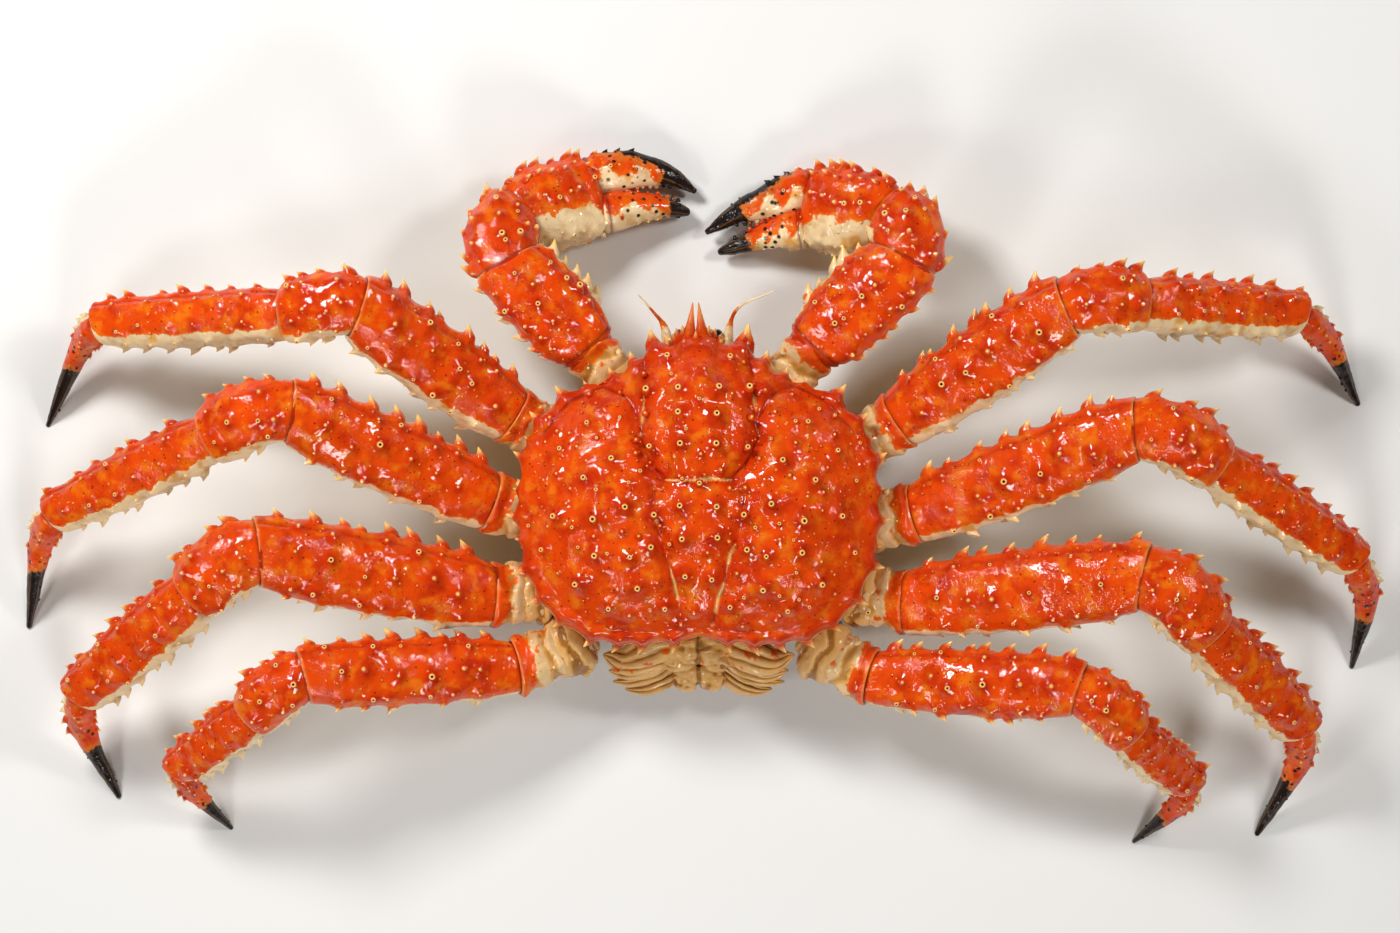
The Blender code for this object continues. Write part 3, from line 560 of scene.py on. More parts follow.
def hands(x):
    """Both sides of the crab, or one for what stands on its middle line."""
    return (1, -1) if x else (1,)


def margin_radius(angles):
    """Distance from the carapace's middle to its margin, angles counted from +Y."""
    angles = np.abs((angles + math.pi) % (2 * math.pi) - math.pi)
    marks, radii = zip(*((math.atan2(x, y), math.hypot(x, y)) for x, y in OUTLINE))
    plain, before, after = (np.interp(np.abs(angles + math.radians(turn)), marks, radii)
                            for turn in (0, -3, 3))
    return (plain * 2 + before + after) / 4


def margin_share(x, y):
    """How far out on the carapace a place in millimetres is, with 1 at the margin."""
    return math.hypot(x, y) * MM / float(margin_radius(math.atan2(x, y)))


def back_rise(x, y):
    """Height of the carapace's back above its seam, without its finest relief."""
    share = np.hypot(x, y) / margin_radius(np.arctan2(x, y))
    level = np.clip(1 - np.minimum(share, 1) ** 2.6, 0, 1) ** 0.62
    rise = MARGIN_RISE + (DOME_RISE - MARGIN_RISE - REGION_ALLOWANCE) * level
    for (cx, cy), (half_x, half_y), lift in SWELLINGS:
        for hand in hands(cx):
            fade = ((x / MM - cx * hand) / half_x) ** 2 + ((y / MM - cy) / half_y) ** 2
            rise = rise + lift * MM * np.exp(-fade) * np.minimum(1, level * 1.6)
    return rise


def groove_share(x, y):
    """How deep each place lies in the grooves, in millimetres, how near it is to a crease,
    and how near to one of those that are dashed with cream."""
    place = np.stack([np.abs(x), y], axis=1) / MM
    place += np.stack([lumps(np.stack([x, y, x * 0], 1), 8 * MM, seed) for seed in (3, 4)], 1)
    depth, near, dashed = (np.zeros(len(x)) for _ in range(3))
    for i, (start, end, fall) in enumerate(GROOVES):
        start, run = np.array(start, float), np.subtract(end, start)
        t = np.clip((place - start) @ run / (run @ run), 0, 1)
        off = np.linalg.norm(place - (start + t[:, None] * run), axis=1)
        crease, dip = (np.exp(-(off / width) ** 2) for width in GROOVE_WIDTHS)
        depth = np.maximum(depth, (dip * 0.7 + crease * 0.3) * fall)
        near = np.maximum(near, crease)
        if i in DASHED_GROOVES:
            dashed = np.maximum(dashed, crease * DASHED_GROOVES[i])
    return depth, near, dashed


def rostrum_spine(root, tip, radius):
    """One point of the fork, or one of the small spines at its root."""
    root, tip = Vector(root) * MM, Vector(tip) * MM
    spine = Spine("sharp", root, tip - root, UP, radius * MM, (tip - root).length)
    spine.paleness = 0.35 if radius > 3 else 0.9
    return spine


def margin_spine(degrees, height, hand):
    """One of the spines round the margin."""
    angle = math.radians(degrees + chance.uniform(-1.5, 1.5)) * hand
    out = Vector((math.sin(angle), math.cos(angle), 0))
    size = height * chance.uniform(0.85, 1.1)
    start, radius, length, lean = REAR_HOOK if degrees > REAR_FROM else SIDE_HOOK
    root = out * (float(margin_radius(angle)) + (size * start - MARGIN_SINK) * MM)
    root.z = MARGIN_SPINE_Z
    return Spine("sharp", root, out + Vector(lean), (0, 0.6, 0.4), size * radius * MM,
                 size * length * MM)


def back_places():
    """Places of the back's spines and beads, with the height of each."""
    places = [(x * hand, y, height) for x, y, height in BACK_SPINES for hand in hands(x)]
    while len(places) < SMALL_SPINES:
        x, y = (chance.uniform(*reach) for reach in SMALL_SPINE_FIELD)
        clear = all(math.hypot(x - px, y - py) > SMALL_SPINE_GAP for px, py, _ in places)
        if margin_share(x, y) < 0.95 and clear:
            places.append((x, y, chance.uniform(1.3, 2.2)))
    for _ in range(BACK_BEADS):
        x, y = (chance.uniform(*reach) for reach in BEAD_FIELD)
        places.append((x, y, chance.uniform(0.4, 0.9)))
    return [place for place in places if margin_share(*place[:2]) <= 0.97]


def back_spine(x, y, height):
    """One of the back's spines or beads, standing square on the plain surface."""
    x, y = x * MM + chance.uniform(-1, 1) * MM, y * MM + chance.uniform(-1, 1) * MM
    step = 2 * MM
    xs, ys = np.array([x, x + step, x - step, x, x]), np.array([y, y, y, y + step, y - step])
    z = back_rise(xs, ys)
    out = Vector((z[2] - z[1], z[4] - z[3], 2 * step)).normalized()
    form, radius, lift, share = "bead", height, 0.1, 1
    if height > 1:
        form = "ringed" if height > 2.4 or chance.random() < 0.3 else "blunt"
        radius, share = 0.65 + height * 0.33, BLUNT_SHARE
        lift = BACK_LIFT * 0.85 * min(1, height / 4)
    root = Vector((x, y, SEAM_Z + z[0] + lift * MM))
    return Spine(form, root, out + Vector((0, 0.1, 0.35)), (0, 1, 0), radius * MM,
                 height * share * MM)


def shell_lumps(places, layers):
    """Lumps of falling size on top of each other, in millimetres."""
    return sum(lumps(places, size * MM, seed) * height
               for seed, (size, height) in zip((1, 2, 5), layers))


def mound_weight(places, spines, spread):
    """How much of a spine's swelling each place has, from 0 to 1."""
    weight = np.zeros(len(places))
    for spine in spines:
        if spine.form == "bead":
            continue
        off = places - np.array(spine.root)
        run = off @ np.array(spine.side)
        reach = spine.radius * spread
        near = np.sum(off * off, axis=1) - run * run
        if spine.form != "sharp":
            near -= (off @ np.array(spine.axis)) ** 2 * 0.85
        near /= reach ** 2
        stretch = 2.2 if spine.form == "sharp" else 1.0
        near += (run / (reach * np.where(run < 0, stretch, 0.5 + stretch / 2))) ** 2
        size = spine.height / (1 if spine.form == "sharp" else BLUNT_SHARE)
        weight = np.maximum(weight, np.exp(-np.maximum(near, 0)) * min(1, size / (4 * MM)))
    return weight


def make_carapace():
    """A sphere cut off just below its middle, drawn out to the shield and carved."""
    bm = bmesh.new()
    bmesh.ops.create_uvsphere(bm, u_segments=CARAPACE_SIDES, v_segments=CARAPACE_RINGS, radius=1)
    depth_below = math.sin(math.pi * (RIM_RINGS + 0.5) / CARAPACE_RINGS)
    bmesh.ops.bisect_plane(bm, geom=bm.verts[:] + bm.edges[:] + bm.faces[:],
                           plane_co=(0, 0, -depth_below), plane_no=(0, 0, -1), clear_outer=True)
    bmesh.ops.holes_fill(bm, edges=[e for e in bm.edges if e.is_boundary], sides=0)
    sphere = np.array([v.co for v in bm.verts])
    angles = np.arctan2(sphere[:, 0], sphere[:, 1])
    share, behind = np.hypot(sphere[:, 0], sphere[:, 1]), np.abs(angles)
    below = np.clip(-sphere[:, 2] / depth_below, 0, 1)
    rostrum = [rostrum_spine(*row) for row in ROSTRUM_SPINES]
    margin = [margin_spine(*row, hand) for row in MARGIN_SPINES for hand in (1, -1)]
    spines = rostrum + margin + [back_spine(*place) for place in back_places()]
    flare = np.zeros(len(angles))
    for spine in margin:
        off = (angles - math.atan2(spine.root.x, spine.root.y) + math.pi) % (2 * math.pi)
        fade = np.exp(-np.abs(off - math.pi) / MARGIN_WEB_SPREAD)
        flare = np.maximum(flare, spine.height * fade)
    reach = flare * (MARGIN_WEB_REACH - REAR_WEB_LOSS * smoothstep(behind, 1.7, 2.1))
    reach -= MARGIN_SINK * MM
    radius = margin_radius(angles) + reach * smoothstep(share, 0.84, 1.0)
    x, y = np.sin(angles) * radius * share, np.cos(angles) * radius * share
    places = np.stack([x, y, SEAM_Z + back_rise(x, y)], axis=1)
    inner = 1 - smoothstep(share, 0.985, 1.0)
    depth, near, dashed = groove_share(x, y)
    swell = mound_weight(places, spines, BACK_MOUND_SPREAD)
    relief = shell_lumps(places, BACK_LUMPS)
    scar = np.zeros(len(x))
    for scar_x, scar_y in SCARS:
        off = np.hypot(x / MM - scar_x, y / MM - scar_y)
        scar = np.maximum(scar, np.exp(-((off - SCAR_RING[0]) / SCAR_RING[1]) ** 2))
    places[:, 2] += (relief - depth * GROOVE_DEEPENING + swell * BACK_LIFT
                     - scar * SCAR_DEPTH) * MM * inner
    places[:, 2] += (flare * 0.6 * smoothstep(share, 0.87, 0.95)
                     * (1 - smoothstep(share, 0.965, 1.0)))
    lip = places[:, 2] * (1 - below) + (SEAM_Z + 0.4 * MM) * below
    places[:, 2] = np.where(below > 0, lip, places[:, 2])
    places[:, :2] *= (1 - 0.045 * below ** 2)[:, None]
    crease = near * smoothstep(lumps(places, 7 * MM, 12), -0.7, 0.3) * 0.8 - 0.1
    gaps = smoothstep(-lumps(places, 5 * MM, 9), -0.3, 0.3) * 0.9
    rear_rim = smoothstep(share, 0.992, 0.999) * smoothstep(behind, 1.5, 2.0) * 31
    finish_piece("carapace_shell", bm, places, {
        "cream": np.where(below > 0.5, 6.0, -30.0) + rear_rim,
        "groove": np.clip(np.maximum(crease, scar * 0.5), 0, 1) * inner,
        "tip": np.clip(dashed * 1.2 - gaps, 0, 0.8),
        # Deep red round the spines' mounds, and painted shade in the grooves' dips
        "mound_red_and_dip_shade": np.clip(swell * 1.5 + depth / 3, 0, 1),
    }, "red_shell", ["carapace"], spines)


make_carapace()


# The walking legs: five segments each, hard flattened tubes of the same shell with swollen
# ridges that carry the spines. They meet at mitred joints, where each starts inside the
# one before, and the last is a horn-tipped claw that stands on the floor.

# Heights along a leg, and those of its last segment as shares of the knee's height
ROOT_Z, THIGH_Z, CARPUS_DROP, TIP_Z = 33, 42, 7, -0.6
ANKLE_SHARE, CLAW_MID_SHARE = 0.44, 0.25
KNEE_Z = {1: 96, 2: 100, 3: 98, 4: 84}
# How far the carpus's middle is pushed out of the knee's bend, as a share of its length
KNEE_ARCH = 0.12
# Seen from above: root, thigh, knee, shin, ankle, and the middle and tip of the claw
LEG_PLAN = {
    ("left", 1): ((-78, 29), (-104.5, 45), (-184, 102), (-222, 98), (-331, 94.5),
                  (-344.5, 81), (-366.5, 38.5)),
    ("left", 2): ((-84, -13), (-116.5, -3), (-220.5, 46), (-262, 32), (-356, -11),
                  (-366.5, -30.5), (-377, -75)),
    ("left", 3): ((-83, -52), (-115.5, -55), (-238, -30), (-271, -52), (-341.5, -110),
                  (-342, -130.5), (-326, -170.5)),
    ("left", 4): ((-62, -80), (-101.5, -95), (-214.5, -97.5), (-242, -118.5),
                  (-288, -152), (-279.5, -167), (-262.5, -188)),
    ("right", 1): ((78, 20), (112, 42), (199, 102.5), (238.5, 104), (333, 100),
                   (351.5, 83.5), (371.5, 50.5)),
    ("right", 2): ((85, -16), (121, -10), (236, 36), (278.5, 17.5), (362.5, -36),
                   (371.5, -58.5), (367.5, -97.5)),
    ("right", 3): ((84, -53), (115.5, -59), (240.5, -43.5), (274, -72.5), (333, -128),
                   (333, -150), (314, -191.5)),
    ("right", 4): ((62, -82), (96, -100.5), (206.5, -104.5), (233.5, -128),
                   (272, -160.5), (264.5, -175.5), (244.5, -195.5)),
}
LEG_WIDTHS = {
    "base": {1: 34, 2: 35, 3: 36, 4: 33}, "merus": {1: 40, 2: 40, 3: 43, 4: 35},
    "carpus": {1: 33, 2: 34, 3: 36, 4: 29}, "propodus": {1: 29.5, 2: 29, 3: 32, 4: 24},
    "dactyl": {1: 16.5, 2: 16.5, 3: 17, 4: 13.5},
}
LEG_KINDS = ("base", "merus", "carpus", "propodus", "dactyl")
HORNED = ("dactyl", "moving", "fixed")
CLOSED_TIPS = (*HORNED, "feeler")
SIDES = {"dactyl": 48, "moving": 56, "fixed": 56, "feeler": 24}
SLOTS = {"base": "cream_shell", "dactyl": "claw_horn", "moving": "claw_horn",
         "fixed": "claw_horn"}
# Sign that turns a limb's edge to its front, which on a claw faces the crab's middle
FRONT = {"left": 1, "right": -1}

# Width along each kind of segment, and its depth as a share of its width
PROFILES = {
    "base": ((0.0, 0.90), (0.35, 0.84), (0.7, 0.92), (1.0, 0.98)),
    "merus": ((0.0, 0.82), (0.12, 0.91), (0.45, 1.0), (0.8, 0.98), (1.0, 0.86)),
    "carpus": ((0.0, 0.96), (0.25, 1.0), (0.7, 1.02), (1.0, 0.94)),
    "propodus": ((0.0, 0.94), (0.15, 1.0), (0.6, 0.97), (1.0, 0.80)),
    "dactyl": ((0.0, 0.86), (0.15, 1.0), (0.6, 0.68), (0.85, 0.38), (1.0, 0.16)),
    "palm": ((0.0, 0.70), (0.25, 0.96), (0.6, 1.0), (1.0, 0.92)),
    "moving": ((0.0, 1.12), (0.1, 1.12), (0.25, 1.0), (0.6, 0.66), (0.85, 0.36), (1.0, 0.14)),
    "fixed": ((0.0, 1.5), (0.12, 1.4), (0.35, 1.0), (0.65, 0.72), (0.9, 0.42), (1.0, 0.2)),
    "feeler": ((0.0, 1.0), (0.25, 0.75), (0.45, 0.3), (1.0, 0.07)),
}
DEPTH_SHARE = {
    "base": 0.84, "merus": 0.8, "carpus": 0.86, "propodus": 0.84, "dactyl": 1.0,
    "palm": 0.72, "moving": 0.9, "fixed": 1.0, "feeler": 1.0,
}
# How square the section is: 2 is an ellipse
SQUARENESS = {"merus": 2.5, "propodus": 2.5, "carpus": 2.3, "palm": 2.5}

# Rows of spines: degrees round the segment from its front edge over the top, how many,
# the shares of the length between which they stand, the form, and height in millimetres
LEG_SPINES = {
    "base": ((35, 1, 0.65, 0.65, "sharp", 3), (120, 1, 0.45, 0.45, "ringed", 2.6)),
    "merus": ((4, 8, 0.06, 0.97, "sharp", 6.0), (40, 5, 0.14, 0.92, "ringed", 2.8),
              (88, 6, 0.10, 0.92, "ringed", 3.4), (136, 6, 0.10, 0.95, "ringed", 3.0),
              (168, 5, 0.12, 0.97, "sharp", 4.2), (200, 5, 0.08, 0.90, "sharp", 3.8)),
    "carpus": ((6, 4, 0.15, 0.92, "sharp", 5.8), (50, 3, 0.2, 0.9, "ringed", 2.8),
               (95, 4, 0.12, 0.9, "ringed", 3.0), (140, 3, 0.2, 0.88, "ringed", 2.6),
               (182, 3, 0.25, 0.85, "sharp", 3.4)),
    "propodus": ((4, 7, 0.08, 0.97, "sharp", 5.0), (50, 6, 0.1, 0.92, "ringed", 2.2),
                 (100, 6, 0.08, 0.90, "ringed", 2.2), (145, 5, 0.12, 0.9, "ringed", 2.0),
                 (188, 7, 0.08, 0.96, "sharp", 4.2)),
    "dactyl": ((10, 4, 0.08, 0.5, "sharp", 3.0), (90, 3, 0.1, 0.4, "sharp", 1.6),
               (172, 4, 0.10, 0.55, "sharp", 2.2)),
}
# Where the cream starts behind the top, in degrees at the segment's start and end
CREAM_FROM = {"merus": (122, 158), "carpus": (146, 128), "propodus": (118, 122)}
CREAM_SHIFT = {1: 0, 2: 9, 3: 18, 4: 30}
# Millimetres from one ring of vertices to the next, and how many vertices a ring has
RING_STEP, LIMB_SIDES = 1.15, 88
LIMB_LUMPS = ((9, 0.55), (3.6, 0.34), (1.6, 0.06))
# The crease along the long segments: degrees from the front edge, half width and depth
CREASE_AT, CREASE_WIDTH, CREASE_DEPTH = 34, 7, 0.7
# The last rings of a segment: place from its end and depth under its surface
CLOSED_END = (-0.6, 0), (0, 0.5)
OPEN_END = (-0.5, 0, -0.3, -3), (0.15, 0.8, 2.0, 3.0)
# Shares of the listed height that the blunt spines and the others come in
BLUNT_SIZES, SHARP_SIZES = (0.6, 0.85, 1.0, 1.25), (0.7, 0.9, 1.1, 1.2)
# Height of the mounds under the blunt spines, in millimetres, and their width as a share
# of the spine's radius
SPINE_LIFT, LIMB_MOUND_SPREAD = 2.6, 2.3
# How far the webs of the sharp spines reach along a segment, in millimetres, and round it,
# in degrees, and their height as a share of the spine's
WEB_REACH, WEB_TURN, WEB_HEIGHT = 4.6, 20, 0.62
# Width of the skin folds round a limb's base
PLEAT = 12
# How far from its end the rounding of an open segment starts, in millimetres
END_ROUND = {"palm": 10, "propodus": 4}
# Length of the rounded knuckle hidden in the segment before, as a share of the width, and
# how many beads are strewn over a segment
KNUCKLE = {"merus": 0.18, "carpus": 0.14, "propodus": 0.14, "dactyl": 0.3, "palm": 0.14,
           "moving": 0.4, "fixed": 0.3, "base": 0.1, "feeler": 0.1}
BEADS = {"base": 6, "merus": 46, "carpus": 22, "propodus": 36, "dactyl": 10,
         "palm": 30, "moving": 8, "fixed": 6}


def along(points, t):
    """The place at t on a smooth line through the points, straight beyond both ends."""
    spans = len(points) - 1
    if t < 0:
        return points[0] + (points[1] - points[0]) * t * spans
    if t > 1:
        return points[-1] + (points[-1] - points[-2]) * (t - 1) * spans
    if spans == 1:
        return points[0].lerp(points[1], t)
    i = min(int(t * spans), spans - 1)
    s = t * spans - i
    p1, p2 = points[i], points[i + 1]
    p0 = points[i - 1] if i > 0 else p1 * 2 - p2
    p3 = points[i + 2] if i + 2 <= spans else p2 * 2 - p1
    straight = p1 * 2 + (p2 - p0) * s
    bend = (p0 * 2 - p1 * 5 + p2 * 4 - p3) * s * s + (p1 * 3 - p0 - p2 * 3 + p3) * s ** 3
    return (straight + bend) / 2


def unit_rows(rows):
    """Rows of directions brought to length 1."""
    return rows / np.linalg.norm(rows, axis=1)[:, None]


def joint_normal(arriving, leaving):
    """The normal of the joint's plane between two lines that meet."""
    before = (arriving[-1] - arriving[-2]).normalized()
    after = (leaving[1] - leaving[0]).normalized()
    return (before + after).normalized()


class Limb:
    """One segment: its line, width and kind, and the planes where it meets the next."""

    def __init__(self, kind, line, width, front, start_normal=None, end_normal=None):
        self.kind, self.width = kind, width * MM
        self.length = (line[-1] - line[0]).length
        self.start_normal, self.end_normal = start_normal, end_normal
        self.marks = np.linspace(-0.25, 1.1, 82)
        rows = []
        for t in self.marks:
            forward = (along(line, t + 0.01) - along(line, t - 0.01)).normalized()
            edge = forward.cross(UP).normalized() * front
            rows.append((*along(line, t), *forward, *edge, *(edge.cross(forward) * front)))
        self.rows = np.array(rows)

    def surface(self, t, angle, inset=0.0):
        """Places on the segment and directions out of it, for rows of t and angle."""
        values = np.stack([np.interp(t, self.marks, self.rows[:, i]) for i in range(12)], 1)
        centre, forward, edge, top = (values[:, i:i + 3] for i in (0, 3, 6, 9))
        depth = DEPTH_SHARE[self.kind]
        power = 2 / SQUARENESS.get(self.kind, 2.0)
        cos, sin = np.cos(angle), np.sin(angle)
        across = np.sign(cos) * np.abs(cos) ** power
        upward = np.sign(sin) * np.abs(sin) ** power
        stops, shares = zip(*PROFILES[self.kind])
        half = self.width / 2 * np.interp(t, stops, shares) - inset
        off = edge * (across * half)[:, None] + top * (upward * half * depth)[:, None]
        shift = np.zeros(len(t))
        fade = min(self.width * 1.2, self.length / 2)
        for normal, reach in ((self.start_normal, t), (self.end_normal, 1 - t)):
            if normal is not None:
                normal = np.array(normal)
                tilt = -(off @ normal) / np.maximum(forward @ normal, 0.3)
                shift += tilt * np.clip(1 - reach * self.length / fade, 0, 1)
        out = unit_rows(edge * (cos * depth)[:, None] + top * sin[:, None])
        return centre + off + forward * shift[:, None], out, forward

    def spine(self, form, t, angle, radius, height, lean=None, lift=0.0):
        """A spine at t and angle, lifted off the surface there. Its lean is how much of
        the way to the tip and of the way up its axis has."""
        root, out, forward = (Vector(row[0]) for row in self.surface(
            np.array([t]), np.array([angle])))
        axis = out + forward * lean[0] + UP * lean[1] if lean else out
        made = Spine(form, root + out * lift * MM, axis, forward if lean else (1, 0, 0),
                     radius * MM, height * MM)
        made.spot = t, angle
        return made


def row_spines(limb, table):
    """The rows of spines of a segment."""
    for degrees, count, start, end, form, height in table:
        for i in range(count):
            t = start + (end - start) * (i + 0.5) / count
            if count > 1:
                t += chance.uniform(-0.28, 0.28) * (end - start) / count
            angle = math.radians(degrees + chance.uniform(-8, 8))
            size = height * chance.choice(BLUNT_SIZES if form == "ringed" else SHARP_SIZES)
            if form == "sharp":
                yield limb.spine(form, t, angle, size * 0.42 + 0.6, size * 0.9, (0.55, 0),
                                 0.35 * size)
                continue
            made, lean = "bead", (0, 0)
            if form == "ringed":
                made, lean = "ringed" if chance.random() < 0.4 else "blunt", (0.3, 0.35)
            yield limb.spine(made, t, angle, 0.6 + size * 0.38, size * 0.75, lean,
                             SPINE_LIFT * min(1, size / 4) * 0.6)


def bead_spines(limb):
    """Pale beads strewn over a segment."""
    for _ in range(BEADS.get(limb.kind, 0)):
        t, angle = chance.uniform(0.06, 0.93), math.radians(chance.uniform(-30, 215))
        size = chance.uniform(0.5, 1.0)
        yield limb.spine("bead", t, angle, size, size)


def unit_tube(sides, rings):
    """A capped tube of radius 1 from Z = 0 to 1, with that many rings of vertices."""
    bm = bmesh.new()
    bmesh.ops.create_cone(bm, cap_ends=True, segments=sides, radius1=1, radius2=1, depth=1)
    bmesh.ops.translate(bm, verts=bm.verts, vec=(0, 0, 0.5))
    lengthwise = [e for e in bm.edges if abs(e.verts[0].co.z - e.verts[1].co.z) > 0.5]
    bmesh.ops.subdivide_edges(bm, edges=lengthwise, cuts=rings - 2, use_grid_fill=True)
    return bm


def pleats(distance):
    """Skin folds that lie over each other like tiles, at a distance in millimetres."""
    share = (distance / PLEAT) % 1
    return (smoothstep(share, 0.0, 0.8) - smoothstep(share, 0.86, 1.0)) * 2.0 - 1.0


def segment_rings(kind, length, half):
    """Where a segment's rings stand along it, how deep each lies under the surface, and the
    rounding of its end, in millimetres."""
    knuckle = KNUCKLE[kind] * half * 2
    dome = knuckle * np.cos(np.linspace(0.12, math.pi / 2, 9)[:-1])
    steps = np.arange(0, length - 1.0, RING_STEP)
    ends, end_insets = CLOSED_END if kind in CLOSED_TIPS else OPEN_END
    stations = np.concatenate([-dome, steps, length + np.array(ends)])
    insets = np.concatenate([half * (1 - np.sqrt(1 - (dome / knuckle) ** 2)),
                             0.7 * np.exp(-(steps / 1.1) ** 2), end_insets])
    rounding = END_ROUND.get(kind, 1)
    bend = np.clip((stations - length + rounding) / rounding, 0, 0.98)
    rounded = (1 - np.sqrt(1 - bend ** 2)) * half * (0.6 if kind in END_ROUND else 0)
    rounded[-3:] = rounded.max()
    return stations, insets, rounded


def web_rise(spines, s, angle, length):
    """Height of the webs at the feet of the sharp spines, in millimetres."""
    web = np.zeros(len(s))
    for spine in spines:
        if spine.form == "sharp":
            at, turn = spine.spot
            off = (np.degrees(angle - turn) + 180) % 360 - 180
            reach = np.exp(-np.abs(s - at * length) / WEB_REACH - (off / WEB_TURN) ** 2)
            web = np.maximum(web, reach * spine.height / MM * WEB_HEIGHT)
    return web


def limb_piece(name, limb, table, slot, nodes, cream):
    """A segment with its swellings, relief, spines and paint. cream is a function that
    gives how far past the cream's border each vertex is, in millimetres."""
    kind, length, half = limb.kind, limb.length / MM, limb.width / MM / 2
    closed = kind in CLOSED_TIPS
    stations, insets, rounded = segment_rings(kind, length, half)
    bm = unit_tube(SIDES.get(kind, LIMB_SIDES), len(stations))
    tube = np.array([v.co for v in bm.verts])
    ring = np.rint(tube[:, 2] * (len(stations) - 1)).astype(int)
    angle = np.arctan2(tube[:, 0], tube[:, 1])
    s, inset = stations[ring], insets[ring]
    places, out, _ = limb.surface(s / length, angle, (inset + rounded[ring]) * MM)
    spines = list(row_spines(limb, table))
    red = mound_weight(places, [spine for spine in spines if spine.form != "sharp"],
                       LIMB_MOUND_SPREAD)
    swell = np.maximum(red * SPINE_LIFT, web_rise(spines, s, angle, length))
    free = smoothstep(s, -0.5, 3) * (1 - smoothstep(s, length - 1.5, length))
    relief = shell_lumps(places, LIMB_LUMPS)
    crease = np.exp(-((np.degrees(angle) - CREASE_AT) / CREASE_WIDTH) ** 2)
    crease *= kind in ("merus", "propodus")
    if kind == "base":
        bent = s + lumps(places, 11 * MM, 7) * 4.5 + np.cos(angle * 2) * 2.0
        relief += pleats(bent) + folds(places, (5, 5, 9), int(places[0, 0] / MM)) * 0.5
    small = min(1, limb.width / (30 * MM))
    places += out * ((relief * small + swell - crease * CREASE_DEPTH) * free * MM)[:, None]
    if closed:
        places[:, 2] = np.maximum(places[:, 2], 0)
    degrees = np.degrees(angle) % 360
    start_gap = np.exp(-((s - 0.1) / 0.9) ** 2) * 0.9
    end_line = np.exp(-((length - s) / 0.9) ** 2) * (inset < 1) * (not closed)
    paints = {
        "cream": cream(s, length, degrees),
        "groove": np.clip(start_gap + (s > length - 9) * (inset > 1.7), 0, 1),
        "tip": end_line * 0.28,
        # Deep red round the spines' mounds, and painted shade in the crease along the segment
        "mound_red_and_dip_shade": np.clip(red * 1.5 + crease * 0.8 + (s < 0), 0, 1),
        # Brown painted as shade in the dips of the relief, and the body's cream on a leg's base
        "body_tone_and_crease_shade": smoothstep(-relief, 0.1, 0.9) * 0.6 + (kind == "base") * 0.12,
    }
    if kind in HORNED:
        paints |= horn_paint(kind, s, length, degrees)
    spines += bead_spines(limb)
    for spine in spines:
        at, around = (np.array([value]) for value in spine.spot)
        at, around = at * length, np.degrees(around) % 360
        spine.paints["cream"] = float(cream(at, length, around)[0])
        if kind in HORNED:
            spine.paints["horn"] = float(horn_paint(kind, at, length, around)["horn"][0])
    finish_piece(name, bm, places, paints, slot, nodes, spines)


def band(degrees, low, high):
    """Degrees past the nearer end of the band from low to high, and less than 0 inside."""
    middle, half = (low + high) / 2, (high - low) / 2
    away = np.abs((degrees - middle + 180) % 360 - 180)
    return away - half


def horn_paint(kind, s, length, degrees):
    """Where the black horn of a tip is, in millimetres past its border, and its spots."""
    share = s / length
    ridge = smoothstep(np.cos(np.radians(degrees) * 5 + 0.6), 0.9, 1.0)
    ridge = ridge * smoothstep(share, 0.5, 0.8) * (1 - smoothstep(share, 0.94, 1.0))
    if kind == "dactyl":
        horn = (share - 0.66) * length + 3 * np.cos(np.radians(degrees - 120))
        return {"horn": horn, "spotted": smoothstep(share, 0.1, 0.4), "ridge": ridge}
    horn = (share - 0.68) * length
    if kind == "moving":
        side = (-70 - band(degrees, 85, 285)) * 0.12 + (share - 0.2) * 16
        horn = np.minimum(np.maximum((share - 0.62) * length, side), (share - 0.15) * length)
    return {"horn": horn, "spotted": smoothstep(share, 0.0, 0.2), "ridge": ridge}


def leg_lines(side, number):
    """The middle lines of a walking leg's five segments."""
    root, thigh, knee, shin, ankle, middle, tip = LEG_PLAN[side, number]
    knee_z = KNEE_Z[number]
    points = [Vector(p) * MM for p in (
        (*root, ROOT_Z), (*thigh, THIGH_Z), (*knee, knee_z), (*shin, knee_z - CARPUS_DROP),
        (*ankle, knee_z * ANKLE_SHARE), (*middle, knee_z * CLAW_MID_SHARE), (*tip, TIP_Z))]
    lines = [points[0:2], points[1:3], points[2:4], points[3:5], points[4:7]]
    lines[2] = arched(lines[1:4])
    return lines


def arched(lines):
    """The middle line of the three, with its middle pushed to the outside of its bend."""
    before, here, after = lines
    push = (before[-1] - before[0]).normalized() - (after[-1] - after[0]).normalized()
    middle = (here[0] + here[-1]) / 2 + push * (here[-1] - here[0]).length * KNEE_ARCH
    return [here[0], middle, here[-1]]


def leg_cream(kind, number):
    """How far past the cream's border each vertex of a leg's segment is."""
    def measure(s, length, degrees):
        if kind == "base":
            patch = (length - s) - 9 + np.maximum(0, np.abs(degrees - 80) - 60) * 0.2
            return np.where(degrees > 200, 12.0, np.minimum(patch, 1.4))
        if kind == "dactyl":
            return band(degrees, 28, 215) * 0.15 - smoothstep(s / length, 0.2, 0.5) * 9
        first, last = CREAM_FROM[kind]
        border = first + (last - first) * s / length + CREAM_SHIFT[number]
        corner = smoothstep(s, length - 8, length - 1) * (kind == "propodus")
        return band(degrees, -16 + corner * 50, border - corner * 30) * 0.28
    return measure


